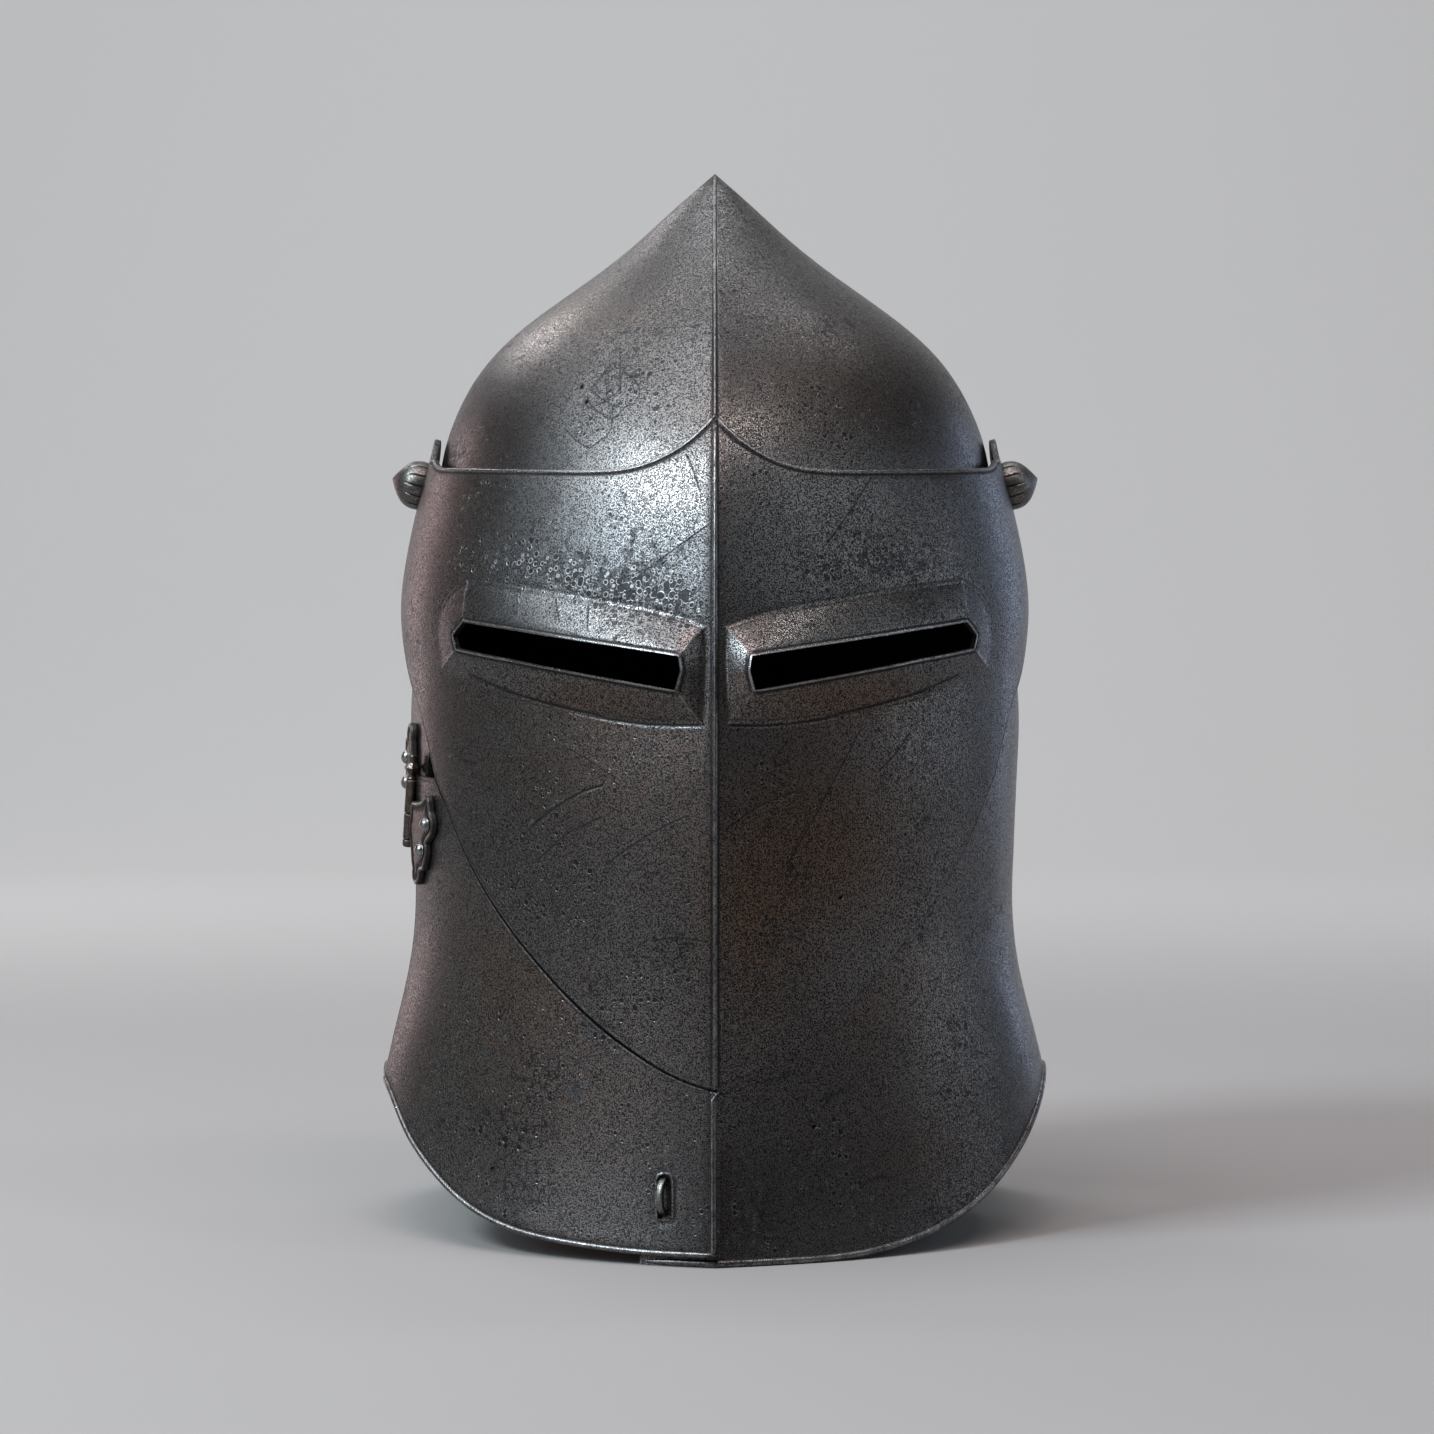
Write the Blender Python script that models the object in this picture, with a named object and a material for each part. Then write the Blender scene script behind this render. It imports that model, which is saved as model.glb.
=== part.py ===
# Visored bascinet: a pointed skull, a keeled visor that lifts on two side pivots, and a throat
# door that swings on a hinge at the wearer's right cheek.
#
# Frame: +Z up, the face looks along -Y, +X is the wearer's left. The origin is on the floor,
# in the middle under the helmet, which stands on its front and back rims.
# All sizes below are millimetres; MM turns them into metres when a mesh is made.

import bpy
import math
import numpy as np
from mathutils.geometry import delaunay_2d_cdt

MM = 0.001

# ---- driving sizes -------------------------------------------------------------------------

SKULL_THICK = 1.8
VISOR_THICK = 1.8
DOOR_THICK = 1.6
DOOR_GAP = 0.9          # between the skull's outside and the door's inside
RIM_EXTRA = 1.2         # how far a lower rim is thickened outwards
RIM_WIDTH = 3.0         # how far up the wall that thickening reaches
RIM_LEVEL = 54.0        # height of the rim at the sides, over the shoulders
APEX_DIP = 2.4          # from the skull's point down to the point of its hollow

PIVOT_Y = 12.0          # the visor turns about a line along X through this point
PIVOT_Z = 268.3
BOLT_ROOM = 0.65        # radial room round the bolt's shank
BOLT_HOLE_UP = 0.23     # the holes follow the tilted wall, so they start a little higher outside
SHANK_RADIUS = 3.0
LOBE_RADIUS = 17.5      # rounded end of the visor's arm
BOLT_TILT = 14.5        # degrees, the acorn heads follow the slope of the arm

HINGE_POINT = (-110.8, -24.0, 150.0)    # a point on the throat door's hinge line
HINGE_LEAN = (0.07, -0.15, 1.0)         # its direction, upwards
BARREL_RADIUS = 2.2
BORE_RADIUS = 1.3
REAR_KNUCKLE = (0.2, 12.5)      # heights above and below the barrel's middle
FRONT_KNUCKLE = (-9.5, -0.2)
LEAF_THICK = 1.9
REAR_LEAF_RISE = 0.5            # the leaf's inside, above the skull's outside
FRONT_LEAF_RISE = 2.8
FRONT_LEAF_SHIFT = 7.0          # the front leaf is the rear one turned half round, and higher
RIVET_RADIUS = 2.4
RIVET_SHANK = 1.1
RIVET_ROOM = 0.5
DOOR_EDGE_UPPER = 2.8           # door's rear edge in front of the hinge line, at the barrel
DOOR_EDGE_LOWER = 11.0          # and at the rim
SKULL_UNDER_DOOR = 6.0          # how far the skull goes on under the door
DOOR_FREE_X = 1.1               # the door's free edge stands just past the keel
DOOR_TOP = 164.0
SEAM_GAP = 0.95                 # between the visor's lower edge and the door's upper edge

STAPLE_X = -17.05       # middle of the staple, seen from the front
STAPLE_Z = 23.4
STAPLE_WIDE = 2.4
STAPLE_BAR = 2.2
STAPLE_RISE = 4.4       # middle of the bar above the skull, at the top of the loop
STAPLE_LEAN = 9.5       # degrees towards the hinge

PLATE_GRID = 16.0       # spacing of the plates' facets around and up the helmet
AROUND = 111.0          # millimetres of wall for each radian of plan angle

# ---- outlines ------------------------------------------------------------------------------
# Level sections of the skull's outer surface. At each height: the half width, where the keel
# in front, the widest place and the back lie along Y, and how sharp the keel is in front and
# at the back. A sharpness of 1 is a plain ellipse, and 2 is an equilateral pointed arch.

# Columns: height, half_width, front, middle, back, front_keel, back_keel.
SKULL_SECTIONS = (
    (0.0, 131.0, -124.5, 3.0, 124.0, 1.50, 1.00),
    (30.0, 125.5, -119.0, 2.0, 114.0, 1.60, 1.00),
    (60.0, 120.0, -116.5, 1.0, 106.5, 1.70, 1.00),
    (85.0, 113.6, -116.8, 0.0, 103.0, 1.80, 1.00),
    (110.0, 109.7, -118.8, 1.0, 103.5, 1.90, 1.00),
    (135.0, 110.1, -121.0, 3.0, 108.5, 1.95, 1.00),
    (165.0, 111.5, -122.3, 6.0, 116.0, 2.00, 1.00),
    (195.0, 111.6, -120.8, 9.0, 120.5, 2.00, 1.00),
    (215.0, 108.8, -118.0, 11.0, 121.5, 2.00, 1.00),
    (240.0, 105.2, -112.5, 12.0, 120.0, 2.00, 1.03),
    (262.0, 102.7, -105.5, 14.0, 116.5, 1.95, 1.06),
    (281.0, 100.0, -96.0, 17.0, 111.0, 1.90, 1.10),
    (299.0, 93.6, -83.0, 20.5, 104.0, 1.85, 1.14),
    (313.0, 85.0, -70.0, 23.5, 97.0, 1.80, 1.17),
    (327.0, 71.0, -54.0, 26.0, 89.0, 1.80, 1.20),
    (341.0, 52.0, -34.5, 28.0, 79.0, 1.80, 1.22),
    (355.0, 33.3, -13.0, 30.0, 67.0, 1.80, 1.25),
    (370.0, 16.6, 10.0, 31.5, 52.0, 1.75, 1.25),
    (384.5, 0.0, 32.0, 32.0, 32.0, 1.70, 1.25),
)

# The same for the visor's outer surface.
VISOR_SECTIONS = (
    (55.0, 124.0, -119.6, 1.0, 106.5, 1.70, 1.00),
    (85.0, 116.5, -119.8, 0.0, 103.0, 1.80, 1.00),
    (110.0, 112.6, -121.8, 1.0, 103.5, 1.90, 1.00),
    (135.0, 113.0, -124.0, 3.0, 108.5, 1.95, 1.00),
    (165.0, 114.2, -125.2, 6.0, 116.0, 2.00, 1.00),
    (190.0, 114.4, -124.0, 7.0, 120.0, 2.05, 1.00),
    (205.0, 114.4, -122.4, 6.0, 120.0, 2.05, 1.00),
    (222.0, 115.6, -119.7, 6.0, 120.0, 2.05, 1.00),
    (240.0, 114.0, -115.8, 8.0, 120.0, 2.05, 1.00),
    (262.0, 109.4, -109.0, 11.0, 117.0, 2.00, 1.05),
    (281.0, 104.4, -99.8, 13.0, 114.0, 1.95, 1.10),
    (300.0, 98.5, -86.5, 15.0, 110.0, 1.90, 1.10),
)

# Lower rim of the fixed half in front, of the back, and of the door: distance from the
# middle plane, and height.
FRONT_RIM = ((0.0, 0.0), (32.0, 0.0), (47.0, 0.5), (59.0, 1.9), (71.0, 4.5), (84.0, 9.3),
             (97.0, 17.0), (106.0, 25.6), (113.0, 34.6), (118.4, 44.8))
BACK_RIM = ((0.0, 0.0), (46.0, 0.0), (62.0, 1.2), (80.0, 5.5), (96.0, 14.0), (108.0, 25.5),
            (116.0, 38.5), (120.0, 47.5))
DOOR_RIM = ((0.0, 3.2), (18.6, 3.2), (34.0, 3.7), (48.4, 4.7), (60.0, 5.9), (71.6, 8.1),
            (81.2, 11.5), (93.8, 19.3), (102.6, 27.8), (109.6, 36.8), (114.8, 46.6))

# The visor's edges: across the front as distance from the middle plane and height, then
# along the side as place along Y and height.
BROW_FRONT = ((0.0, 294.4), (5.0, 289.0), (10.4, 284.4), (17.0, 280.4), (23.5, 277.5),
              (30.0, 275.7), (38.0, 274.8), (54.5, 274.6), (76.0, 274.8))
BROW_SIDE = ((-42.0, 275.0), (-28.0, 275.2), (-15.0, 276.2), (-7.5, 278.4))
REAR_EDGE = ((14.5, 244.5), (9.5, 234.0), (4.0, 222.5), (-4.0, 211.0), (-13.0, 202.0),
             (-23.0, 194.5), (-31.5, 187.0), (-38.5, 177.5), (-45.5, 164.5))
CHIN_FRONT = ((95.2, 152.6), (90.5, 141.9), (83.3, 128.8), (74.2, 116.0), (64.4, 104.5),
              (52.8, 92.6), (40.0, 81.4), (24.5, 70.9), (9.7, 63.7), (0.0, 61.0))

# Edge of the opening for the face, from the fixed throat's free edge round to the brow.
THROAT_FRONT = ((-26.0, 82.0), (0.0, 74.0), (26.0, 82.0), (40.0, 92.5), (52.0, 103.5), (63.0, 116.5),
                (72.0, 129.0), (79.0, 141.5), (84.5, 155.0))
CHEEK_SIDE = ((-54.0, 169.0), (-46.0, 184.0), (-36.0, 196.0), (-27.0, 210.0), (-25.0, 226.0),
              (-30.0, 241.0), (-42.0, 252.0))
BROW_INNER = ((80.0, 256.5), (60.0, 262.0), (35.0, 265.5), (12.0, 267.0), (0.0, 267.5))

# The eye slot and the raised frame around it, for the wearer's left eye, as seen from the
# front, each in order round its edge.
SLOT = ((12.7, 211.1), (33.0, 213.7), (53.0, 216.2), (71.0, 218.5), (89.1, 220.7), (92.9, 215.9),
        (91.8, 211.3), (72.0, 208.4), (53.0, 205.4), (33.0, 202.4), (13.8, 199.5), (12.0, 206.0))
FRAME = ((3.6, 220.7), (15.2, 224.8), (28.0, 227.3), (43.0, 229.0), (65.0, 232.2), (78.0, 234.4),
         (87.7, 235.2), (95.5, 229.0), (98.4, 221.0), (98.6, 212.0), (96.9, 204.6),
         (91.8, 201.3), (79.0, 197.0), (63.3, 194.2), (49.4, 190.9), (31.4, 188.2),
         (17.2, 187.8), (4.6, 188.0), (3.9, 199.0), (3.6, 210.0))
MITRES = ((0, 0), (6, 4), (10, 6), (17, 10))    # corners of the frame and of the slot that meet
FRAME_RISE_INNER = 9.5      # how far the slot's lips stand forward at the nose
FRAME_RISE_OUTER = 3.2      # and at the temple

DOOR_SLOT = ((-19.1, 15.7), (-14.2, 15.7), (-14.2, 28.7), (-14.9, 30.4), (-16.65, 31.1),
             (-18.4, 30.4), (-19.1, 28.7))

# Leaf of the door's hinge, behind the pin: rounded lobes in order round its edge, each an
# arc. Distance back from the pin, height above the barrel's middle, radius, first and last
# angle in degrees.
LEAF_LOBES = (
    (11.0, 28.5, 4.5, 200.0, -10.0),
    (20.3, 26.6, 0.9, 150.0, -60.0),
    (17.0, 20.0, 5.2, 35.0, -35.0),
    (21.2, 10.4, 5.5, 55.0, -60.0),
    (19.4, 2.8, 3.4, -5.0, -150.0),
)
LEAF_RIVETS = ((16.6, 19.8), (20.8, 10.0))
REAR_NECK = ((0.9, 12.3), (3.2, 13.2), (4.5, 16.0), (5.0, 20.0))
FRONT_NECK = ((1.5, 16.4), (2.9, 16.5), (3.4, 18.0), (4.6, 21.0), (5.6, 25.0))
REAR_FOOT = ((10.5, 2.2), (2.9, 1.2), (0.9, 0.4))
FRONT_FOOT = ((10.5, 2.2), (5.0, 2.2), (3.2, 3.6), (3.2, 7.3), (1.5, 7.3))

# Half profiles turned about an axis: distance along it, radius.
ACORN_PROFILE = ((0.0, 8.2), (0.6, 8.9), (2.6, 8.9), (4.6, 8.4), (6.6, 7.1), (8.4, 5.1),
                 (9.9, 2.9), (10.8, 1.1), (11.3, 0.0))
PIN_PROFILE = ((-12.5, 0.0), (-12.5, 1.9), (-12.1, 2.2), (-9.8, 2.2), (-9.8, 1.0), (12.8, 1.0),
               (12.8, 1.7), (14.2, 1.5), (16.4, 3.0), (17.2, 3.0), (19.0, 1.5), (19.3, 1.7),
               (21.3, 1.7), (21.8, 1.1), (21.8, 0.0))
BOLT_PROFILE = ((96.8, 0.0), (96.8, 5.0), (97.3, 5.5), (98.3, 5.5), (98.3, 3.0))

# ---- small mathematics ---------------------------------------------------------------------


def spline(xs, ys):
    """Smooth curve through the points: a natural cubic spline."""
    xs = np.asarray(xs, float)
    ys = np.asarray(ys, float)
    count = len(xs)
    step = np.diff(xs)
    matrix = np.eye(count)
    right = np.zeros(count)
    for i in range(1, count - 1):
        matrix[i, i - 1:i + 2] = step[i - 1], 2 * (step[i - 1] + step[i]), step[i]
        right[i] = 6 * ((ys[i + 1] - ys[i]) / step[i] - (ys[i] - ys[i - 1]) / step[i - 1])
    bend = np.linalg.solve(matrix, right)

    def at(value):
        value = np.asarray(value, float)
        i = np.clip(np.searchsorted(xs, value) - 1, 0, count - 2)
        after = xs[i + 1] - value
        before = value - xs[i]
        wide = step[i]
        return (bend[i] * after ** 3 / (6 * wide) + bend[i + 1] * before ** 3 / (6 * wide)
                + (ys[i] / wide - bend[i] * wide / 6) * after
                + (ys[i + 1] / wide - bend[i + 1] * wide / 6) * before)

    return at


def smooth_line(points, spacing):
    """A curve through the points, with a point about every spacing."""
    points = np.asarray(points, float)
    along = np.concatenate([[0], np.cumsum(np.linalg.norm(np.diff(points, axis=0), axis=1))])
    count = max(2, int(round(along[-1] / spacing)) + 1)
    places = np.linspace(0, along[-1], count)
    return np.column_stack([spline(along, points[:, k])(places) for k in range(points.shape[1])])


def join(*lines):
    """One line of points from several, without the doubles where they meet."""
    points = np.vstack(lines)
    keep = np.concatenate([[True], np.linalg.norm(np.diff(points, axis=0), axis=1) > 0.2])
    return points[keep]


def arc(centre, radius, first, last, count):
    """Points on an arc, from the first angle to the last, in degrees."""
    angle = np.radians(np.linspace(first, last, count))
    return np.column_stack([centre[0] + radius * np.cos(angle), centre[1] + radius * np.sin(angle)])


class Wall:
    """A surface made of level sections, with the plan angle and the height as its two ways."""

    def __init__(self, sections):
        rows = np.array(sections)
        self.columns = [spline(rows[:, 0], rows[:, k]) for k in range(1, rows.shape[1])]

    def point(self, angle, height):
        half, front, middle, back, front_keel, back_keel = [c(height) for c in self.columns]
        turn = np.abs(angle)
        ahead = turn <= np.pi / 2
        keel = np.maximum(np.where(ahead, front_keel, back_keel), 1.0001)
        sweep = np.arccos(1 - 1 / keel)
        part = np.abs(1 - turn / (np.pi / 2)) * sweep
        reach = np.where(ahead, middle - front, back - middle) / np.sin(sweep)
        x = np.sign(angle) * half * (1 - keel * (1 - np.cos(part)))
        y = middle + np.where(ahead, -1, 1) * reach * np.sin(part)
        return np.stack([x, y, np.broadcast_to(height, x.shape)], axis=-1)

    def normal(self, angle, height):
        """Outward direction, longer on a keel so that both flanks keep their thickness."""
        small = 0.004
        side = np.where(angle < 0, -1.0, 1.0)
        away = np.where(np.abs(angle) < 1.7, small, -small) * side
        level = np.where(height > 380, -0.3, 0.3)
        here = self.point(angle, height)
        up = (self.point(angle, height + level) - here) * np.sign(level)[:, None]
        across = (self.point(angle + away, height) - here) * np.sign(away)[:, None]
        flank = np.cross(across, up)
        flank /= np.linalg.norm(flank, axis=1)[:, None]
        on_keel = (np.abs(angle) < 1e-6) | (np.abs(angle) > np.pi - 1e-6)
        middle = flank.copy()
        middle[:, 0] = 0
        middle /= np.linalg.norm(middle, axis=1)[:, None]
        lengthen = 1 / np.sum(middle * flank, axis=1)
        return np.where(on_keel[:, None], middle * lengthen[:, None], flank)

    def from_front(self, points):
        """Plan angle and height of points given as they are seen from the front."""
        points = np.asarray(points, float)
        low = np.zeros(len(points))
        high = np.full(len(points), np.pi / 2)
        for _ in range(40):
            middle = (low + high) / 2
            far = self.point(middle, points[:, 1])[:, 0] > np.abs(points[:, 0])
            high = np.where(far, middle, high)
            low = np.where(far, low, middle)
        return np.column_stack([np.sign(points[:, 0]) * middle * AROUND, points[:, 1]])

    def from_side(self, points, side=1):
        """The same for points seen from the side, given as place along Y and height."""
        points = np.asarray(points, float)
        low = np.zeros(len(points))
        high = np.full(len(points), np.pi)
        for _ in range(40):
            middle = (low + high) / 2
            far = self.point(middle, points[:, 1])[:, 1] > points[:, 0]
            high = np.where(far, middle, high)
            low = np.where(far, low, middle)
        return np.column_stack([side * middle * AROUND, points[:, 1]])

    def nearest(self, places):
        """Plan angle and height of the feet of perpendiculars from places near the wall."""
        angle = np.arctan2(places[:, 0], -places[:, 1])
        height = places[:, 2].copy()
        small = 0.002
        for _ in range(12):
            here = self.point(angle, height)
            across = (self.point(angle + small, height) - here) / small
            up = (self.point(angle, height + 0.3) - here) / 0.3
            miss = places - here
            aa, uu, au = [np.sum(p * q, axis=1) for p, q in ((across, across), (up, up), (across, up))]
            ma, mu = np.sum(miss * across, axis=1), np.sum(miss * up, axis=1)
            size = aa * uu - au * au
            angle = angle + (ma * uu - mu * au) / size
            height = height + (mu * aa - ma * au) / size
        return np.column_stack([angle * AROUND, height])

    def off(self, flat, rise):
        """Places at a distance outside the wall, for flat points."""
        angle, height = flat[:, 0] / AROUND, flat[:, 1]
        return self.point(angle, height) + self.normal(angle, height) * rise


SKULL = Wall(SKULL_SECTIONS)
VISOR = Wall(VISOR_SECTIONS)

# ---- plates --------------------------------------------------------------------------------


def inside(loop, points):
    """Which points lie inside a closed outline."""
    x, y = points[:, 0], points[:, 1]
    result = np.zeros(len(points), bool)
    for (x0, y0), (x1, y1) in zip(loop, np.roll(loop, -1, axis=0)):
        if y0 == y1:
            continue
        crosses = (y0 > y) != (y1 > y)
        result ^= crosses & (x < x0 + (y - y0) * (x1 - x0) / (y1 - y0))
    return result


def distance(points, line, closed=False):
    """Distance of each point from a line of points."""
    nearest = np.full(len(points), 1e9)
    ends = np.roll(line, -1, axis=0) if closed else line[1:]
    for start, end in zip(line, ends):
        way = end - start
        share = np.clip((points - start) @ way / max(way @ way, 1e-12), 0, 1)
        nearest = np.minimum(nearest, np.linalg.norm(points - start - share[:, None] * way, axis=1))
    return nearest


def triangulate(outline, holes, creases, levels, spacing=PLATE_GRID):
    """Flat triangles that fill an outline, with edges along the creases and round the holes."""
    count = int(round(np.pi * AROUND / spacing))
    columns = np.arange(-count, count + 1) * np.pi * AROUND / count
    grid = np.array([(q, z) for z in levels for q in columns])
    grid = grid[inside(outline, grid)]
    for loop in [outline] + holes:
        grid = grid[distance(grid, loop, True) > 0.42 * spacing]
    for line in creases:
        grid = grid[distance(grid, line) > 0.42 * spacing]
    for hole in holes:
        grid = grid[~inside(hole, grid)]

    points = []
    edges = []
    for line, closed in [(outline, True)] + [(h, True) for h in holes] + [(c, False) for c in creases]:
        first = len(points)
        points += [tuple(p) for p in line]
        edges += [(first + i, first + i + 1) for i in range(len(line) - 1)]
        if closed:
            edges.append((first + len(line) - 1, first))
    points += [tuple(p) for p in grid]
    found = delaunay_2d_cdt(points, edges, [], 0, 1e-4)
    flat = np.array([tuple(v) for v in found[0]])
    faces = np.array([tuple(f) for f in found[2]])
    centre = flat[faces].mean(axis=1)
    keep = inside(outline, centre)
    for hole in holes:
        keep &= ~inside(hole, centre)
    faces = faces[keep]
    a, b, c = flat[faces[:, 0]], flat[faces[:, 1]], flat[faces[:, 2]]
    area = (b[:, 0] - a[:, 0]) * (c[:, 1] - a[:, 1]) - (c[:, 0] - a[:, 0]) * (b[:, 1] - a[:, 1])
    faces[area < 0] = faces[area < 0][:, ::-1]
    return flat, faces


def plate_mesh(name, wall, flat, faces, outer, inner, apex=None, floor=None, forward=None):
    """A plate of metal between two offsets of a wall. outer and inner give the offset at each
    flat point. apex closes the top ring at a point. floor marks points whose height is kept.
    forward pushes the whole thickness towards the face."""
    angle = flat[:, 0] / AROUND
    height = flat[:, 1]
    here = wall.point(angle, height)
    out = wall.normal(angle, height)
    if floor is not None:
        level = out.copy()
        level[:, 2] = 0
        level /= np.linalg.norm(level, axis=1)[:, None]
        out = np.where(floor[:, None], level, out)
    if forward is not None:
        here = here - np.outer(forward, (0, 1, 0))
    top = here + out * outer[:, None]
    low = here + out * inner[:, None]

    # the two sides of the seam at the back become one
    _, first, same = np.unique(np.round(here, 3), axis=0, return_index=True, return_inverse=True)
    same = first[same.ravel()]
    faces = same[faces]
    used = np.unique(faces)
    place = np.full(len(flat), -1)
    place[used] = np.arange(len(used))
    faces = place[faces]
    top, low, height = top[used], low[used], height[used]
    count = len(used)

    verts = [tuple(p) for p in np.vstack([top, low])]
    polys = [tuple(f) for f in faces] + [tuple(f[::-1] + count) for f in faces]
    rim = {}
    for f in faces:
        for i in range(3):
            edge = (f[i], f[(i + 1) % 3])
            if edge[::-1] in rim:
                del rim[edge[::-1]]
            else:
                rim[edge] = True
    peak = height.max()
    if apex is not None:
        verts += [apex[0], apex[1]]
    for a, b in rim:
        if apex is not None and height[a] > peak - 1e-3 and height[b] > peak - 1e-3:
            polys.append((b, a, 2 * count))
            polys.append((a + count, b + count, 2 * count + 1))
        else:
            polys.append((b, a, a + count))
            polys.append((b, a + count, b + count))
    mesh = bpy.data.meshes.new(name)
    mesh.from_pydata([(x * MM, y * MM, z * MM) for x, y, z in verts], [], polys)
    mesh.validate()
    return mesh


def add(name, mesh, material):
    """An object in the scene, smooth but for its sharp edges."""
    mesh.materials.append(material)
    mesh.shade_smooth()
    mesh.set_sharp_from_angle(angle=math.radians(35))
    obj = bpy.data.objects.new(name, mesh)
    bpy.context.scene.collection.objects.link(obj)
    return obj


def steel(name, colour, roughness):
    material = bpy.data.materials.new(name)
    material.use_nodes = True
    shader = material.node_tree.nodes["Principled BSDF"]
    shader.inputs["Base Color"].default_value = (*colour, 1.0)
    shader.inputs["Metallic"].default_value = 1.0
    shader.inputs["Roughness"].default_value = roughness
    return material


def mirrored(line):
    """The same outline on the other side of the middle plane, in the opposite order."""
    return np.column_stack([-line[:, 0], line[:, 1]])[::-1]


def bolt_hole(wall, side):
    """The round hole for a pivot bolt, seen from the side."""
    circle = arc((PIVOT_Y, PIVOT_Z + BOLT_HOLE_UP), SHANK_RADIUS + BOLT_ROOM, 0, 360, 17)[:-1]
    return wall.from_side(circle, side)


# ---- the hinge line of the door --------------------------------------------------------------


def hinge_place(along):
    """A place on the hinge line, at a distance above the barrel's middle."""
    lean = np.array(HINGE_LEAN) / np.linalg.norm(HINGE_LEAN)
    return np.array(HINGE_POINT) + along * lean


def from_hinge(behind, along):
    """Flat points on the wall at distances behind the hinge line and along it."""
    foot = SKULL.nearest(hinge_place(0.0)[None])
    out = SKULL.off(foot, 1.0) - SKULL.off(foot, 0.0)
    back = np.cross(out[0], (0.0, 0.0, 1.0))
    back *= np.sign(back[1]) / np.linalg.norm(back)
    places = [hinge_place(u) + t * back for t, u in zip(behind, along)]
    return SKULL.nearest(np.array(places))


def door_back_edge(low, high, further):
    """The door's rear edge between two heights along the hinge line, further forward."""
    along = np.linspace(low, high, 10)
    lower = np.clip((-25 - along) / 72, 0, 1.1)
    ahead = DOOR_EDGE_UPPER + (DOOR_EDGE_LOWER - DOOR_EDGE_UPPER) * lower + further
    return from_hinge(-ahead, along)


def meet(first, second):
    """Two lines that cross near the first's end and the second's start, cut off there."""
    for i in range(len(first) - 1):
        for j in range(len(second) - 1):
            a, b = first[i + 1] - first[i], second[j + 1] - second[j]
            size = a[0] * b[1] - a[1] * b[0]
            gap = second[j] - first[i]
            s, t = (gap[0] * b[1] - gap[1] * b[0]) / size, (gap[0] * a[1] - gap[1] * a[0]) / size
            if 0 <= s <= 1 and 0 <= t <= 1:
                corner = first[i] + s * a
                return np.vstack([first[:i + 1], corner]), np.vstack([corner, second[j + 1:]])
    return first, second


def on_leaf(points, side):
    """Leaf outline points on the wall: side is 1 behind the pin and -1 in front of it."""
    points = np.asarray(points, float) * side
    shift = FRONT_LEAF_SHIFT if side < 0 else 0.0
    return from_hinge(points[:, 0], points[:, 1] + shift)


# ---- sub-parts -------------------------------------------------------------------------------


def rim_offsets(flat, line, base):
    """Outside offset that grows by RIM_EXTRA at a rim."""
    near = distance(flat, line)
    return base + RIM_EXTRA * np.clip(1 - near / RIM_WIDTH, 0, 1)


def rim_line(table):
    """A lower rim seen from the front, no lower than its flat stretch in the middle."""
    line = smooth_line(table, PLATE_GRID * 0.8)
    line[:, 1] = np.maximum(line[:, 1], table[0][1])
    return SKULL.from_front(line)


def rim_guide(line, away):
    """A line beside a rim, RIM_WIDTH further up the wall, which bounds its thickening."""
    way = np.gradient(line, axis=0)
    way /= np.linalg.norm(way, axis=1)[:, None]
    return line + np.column_stack([-way[:, 1], way[:, 0]]) * away * RIM_WIDTH


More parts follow.
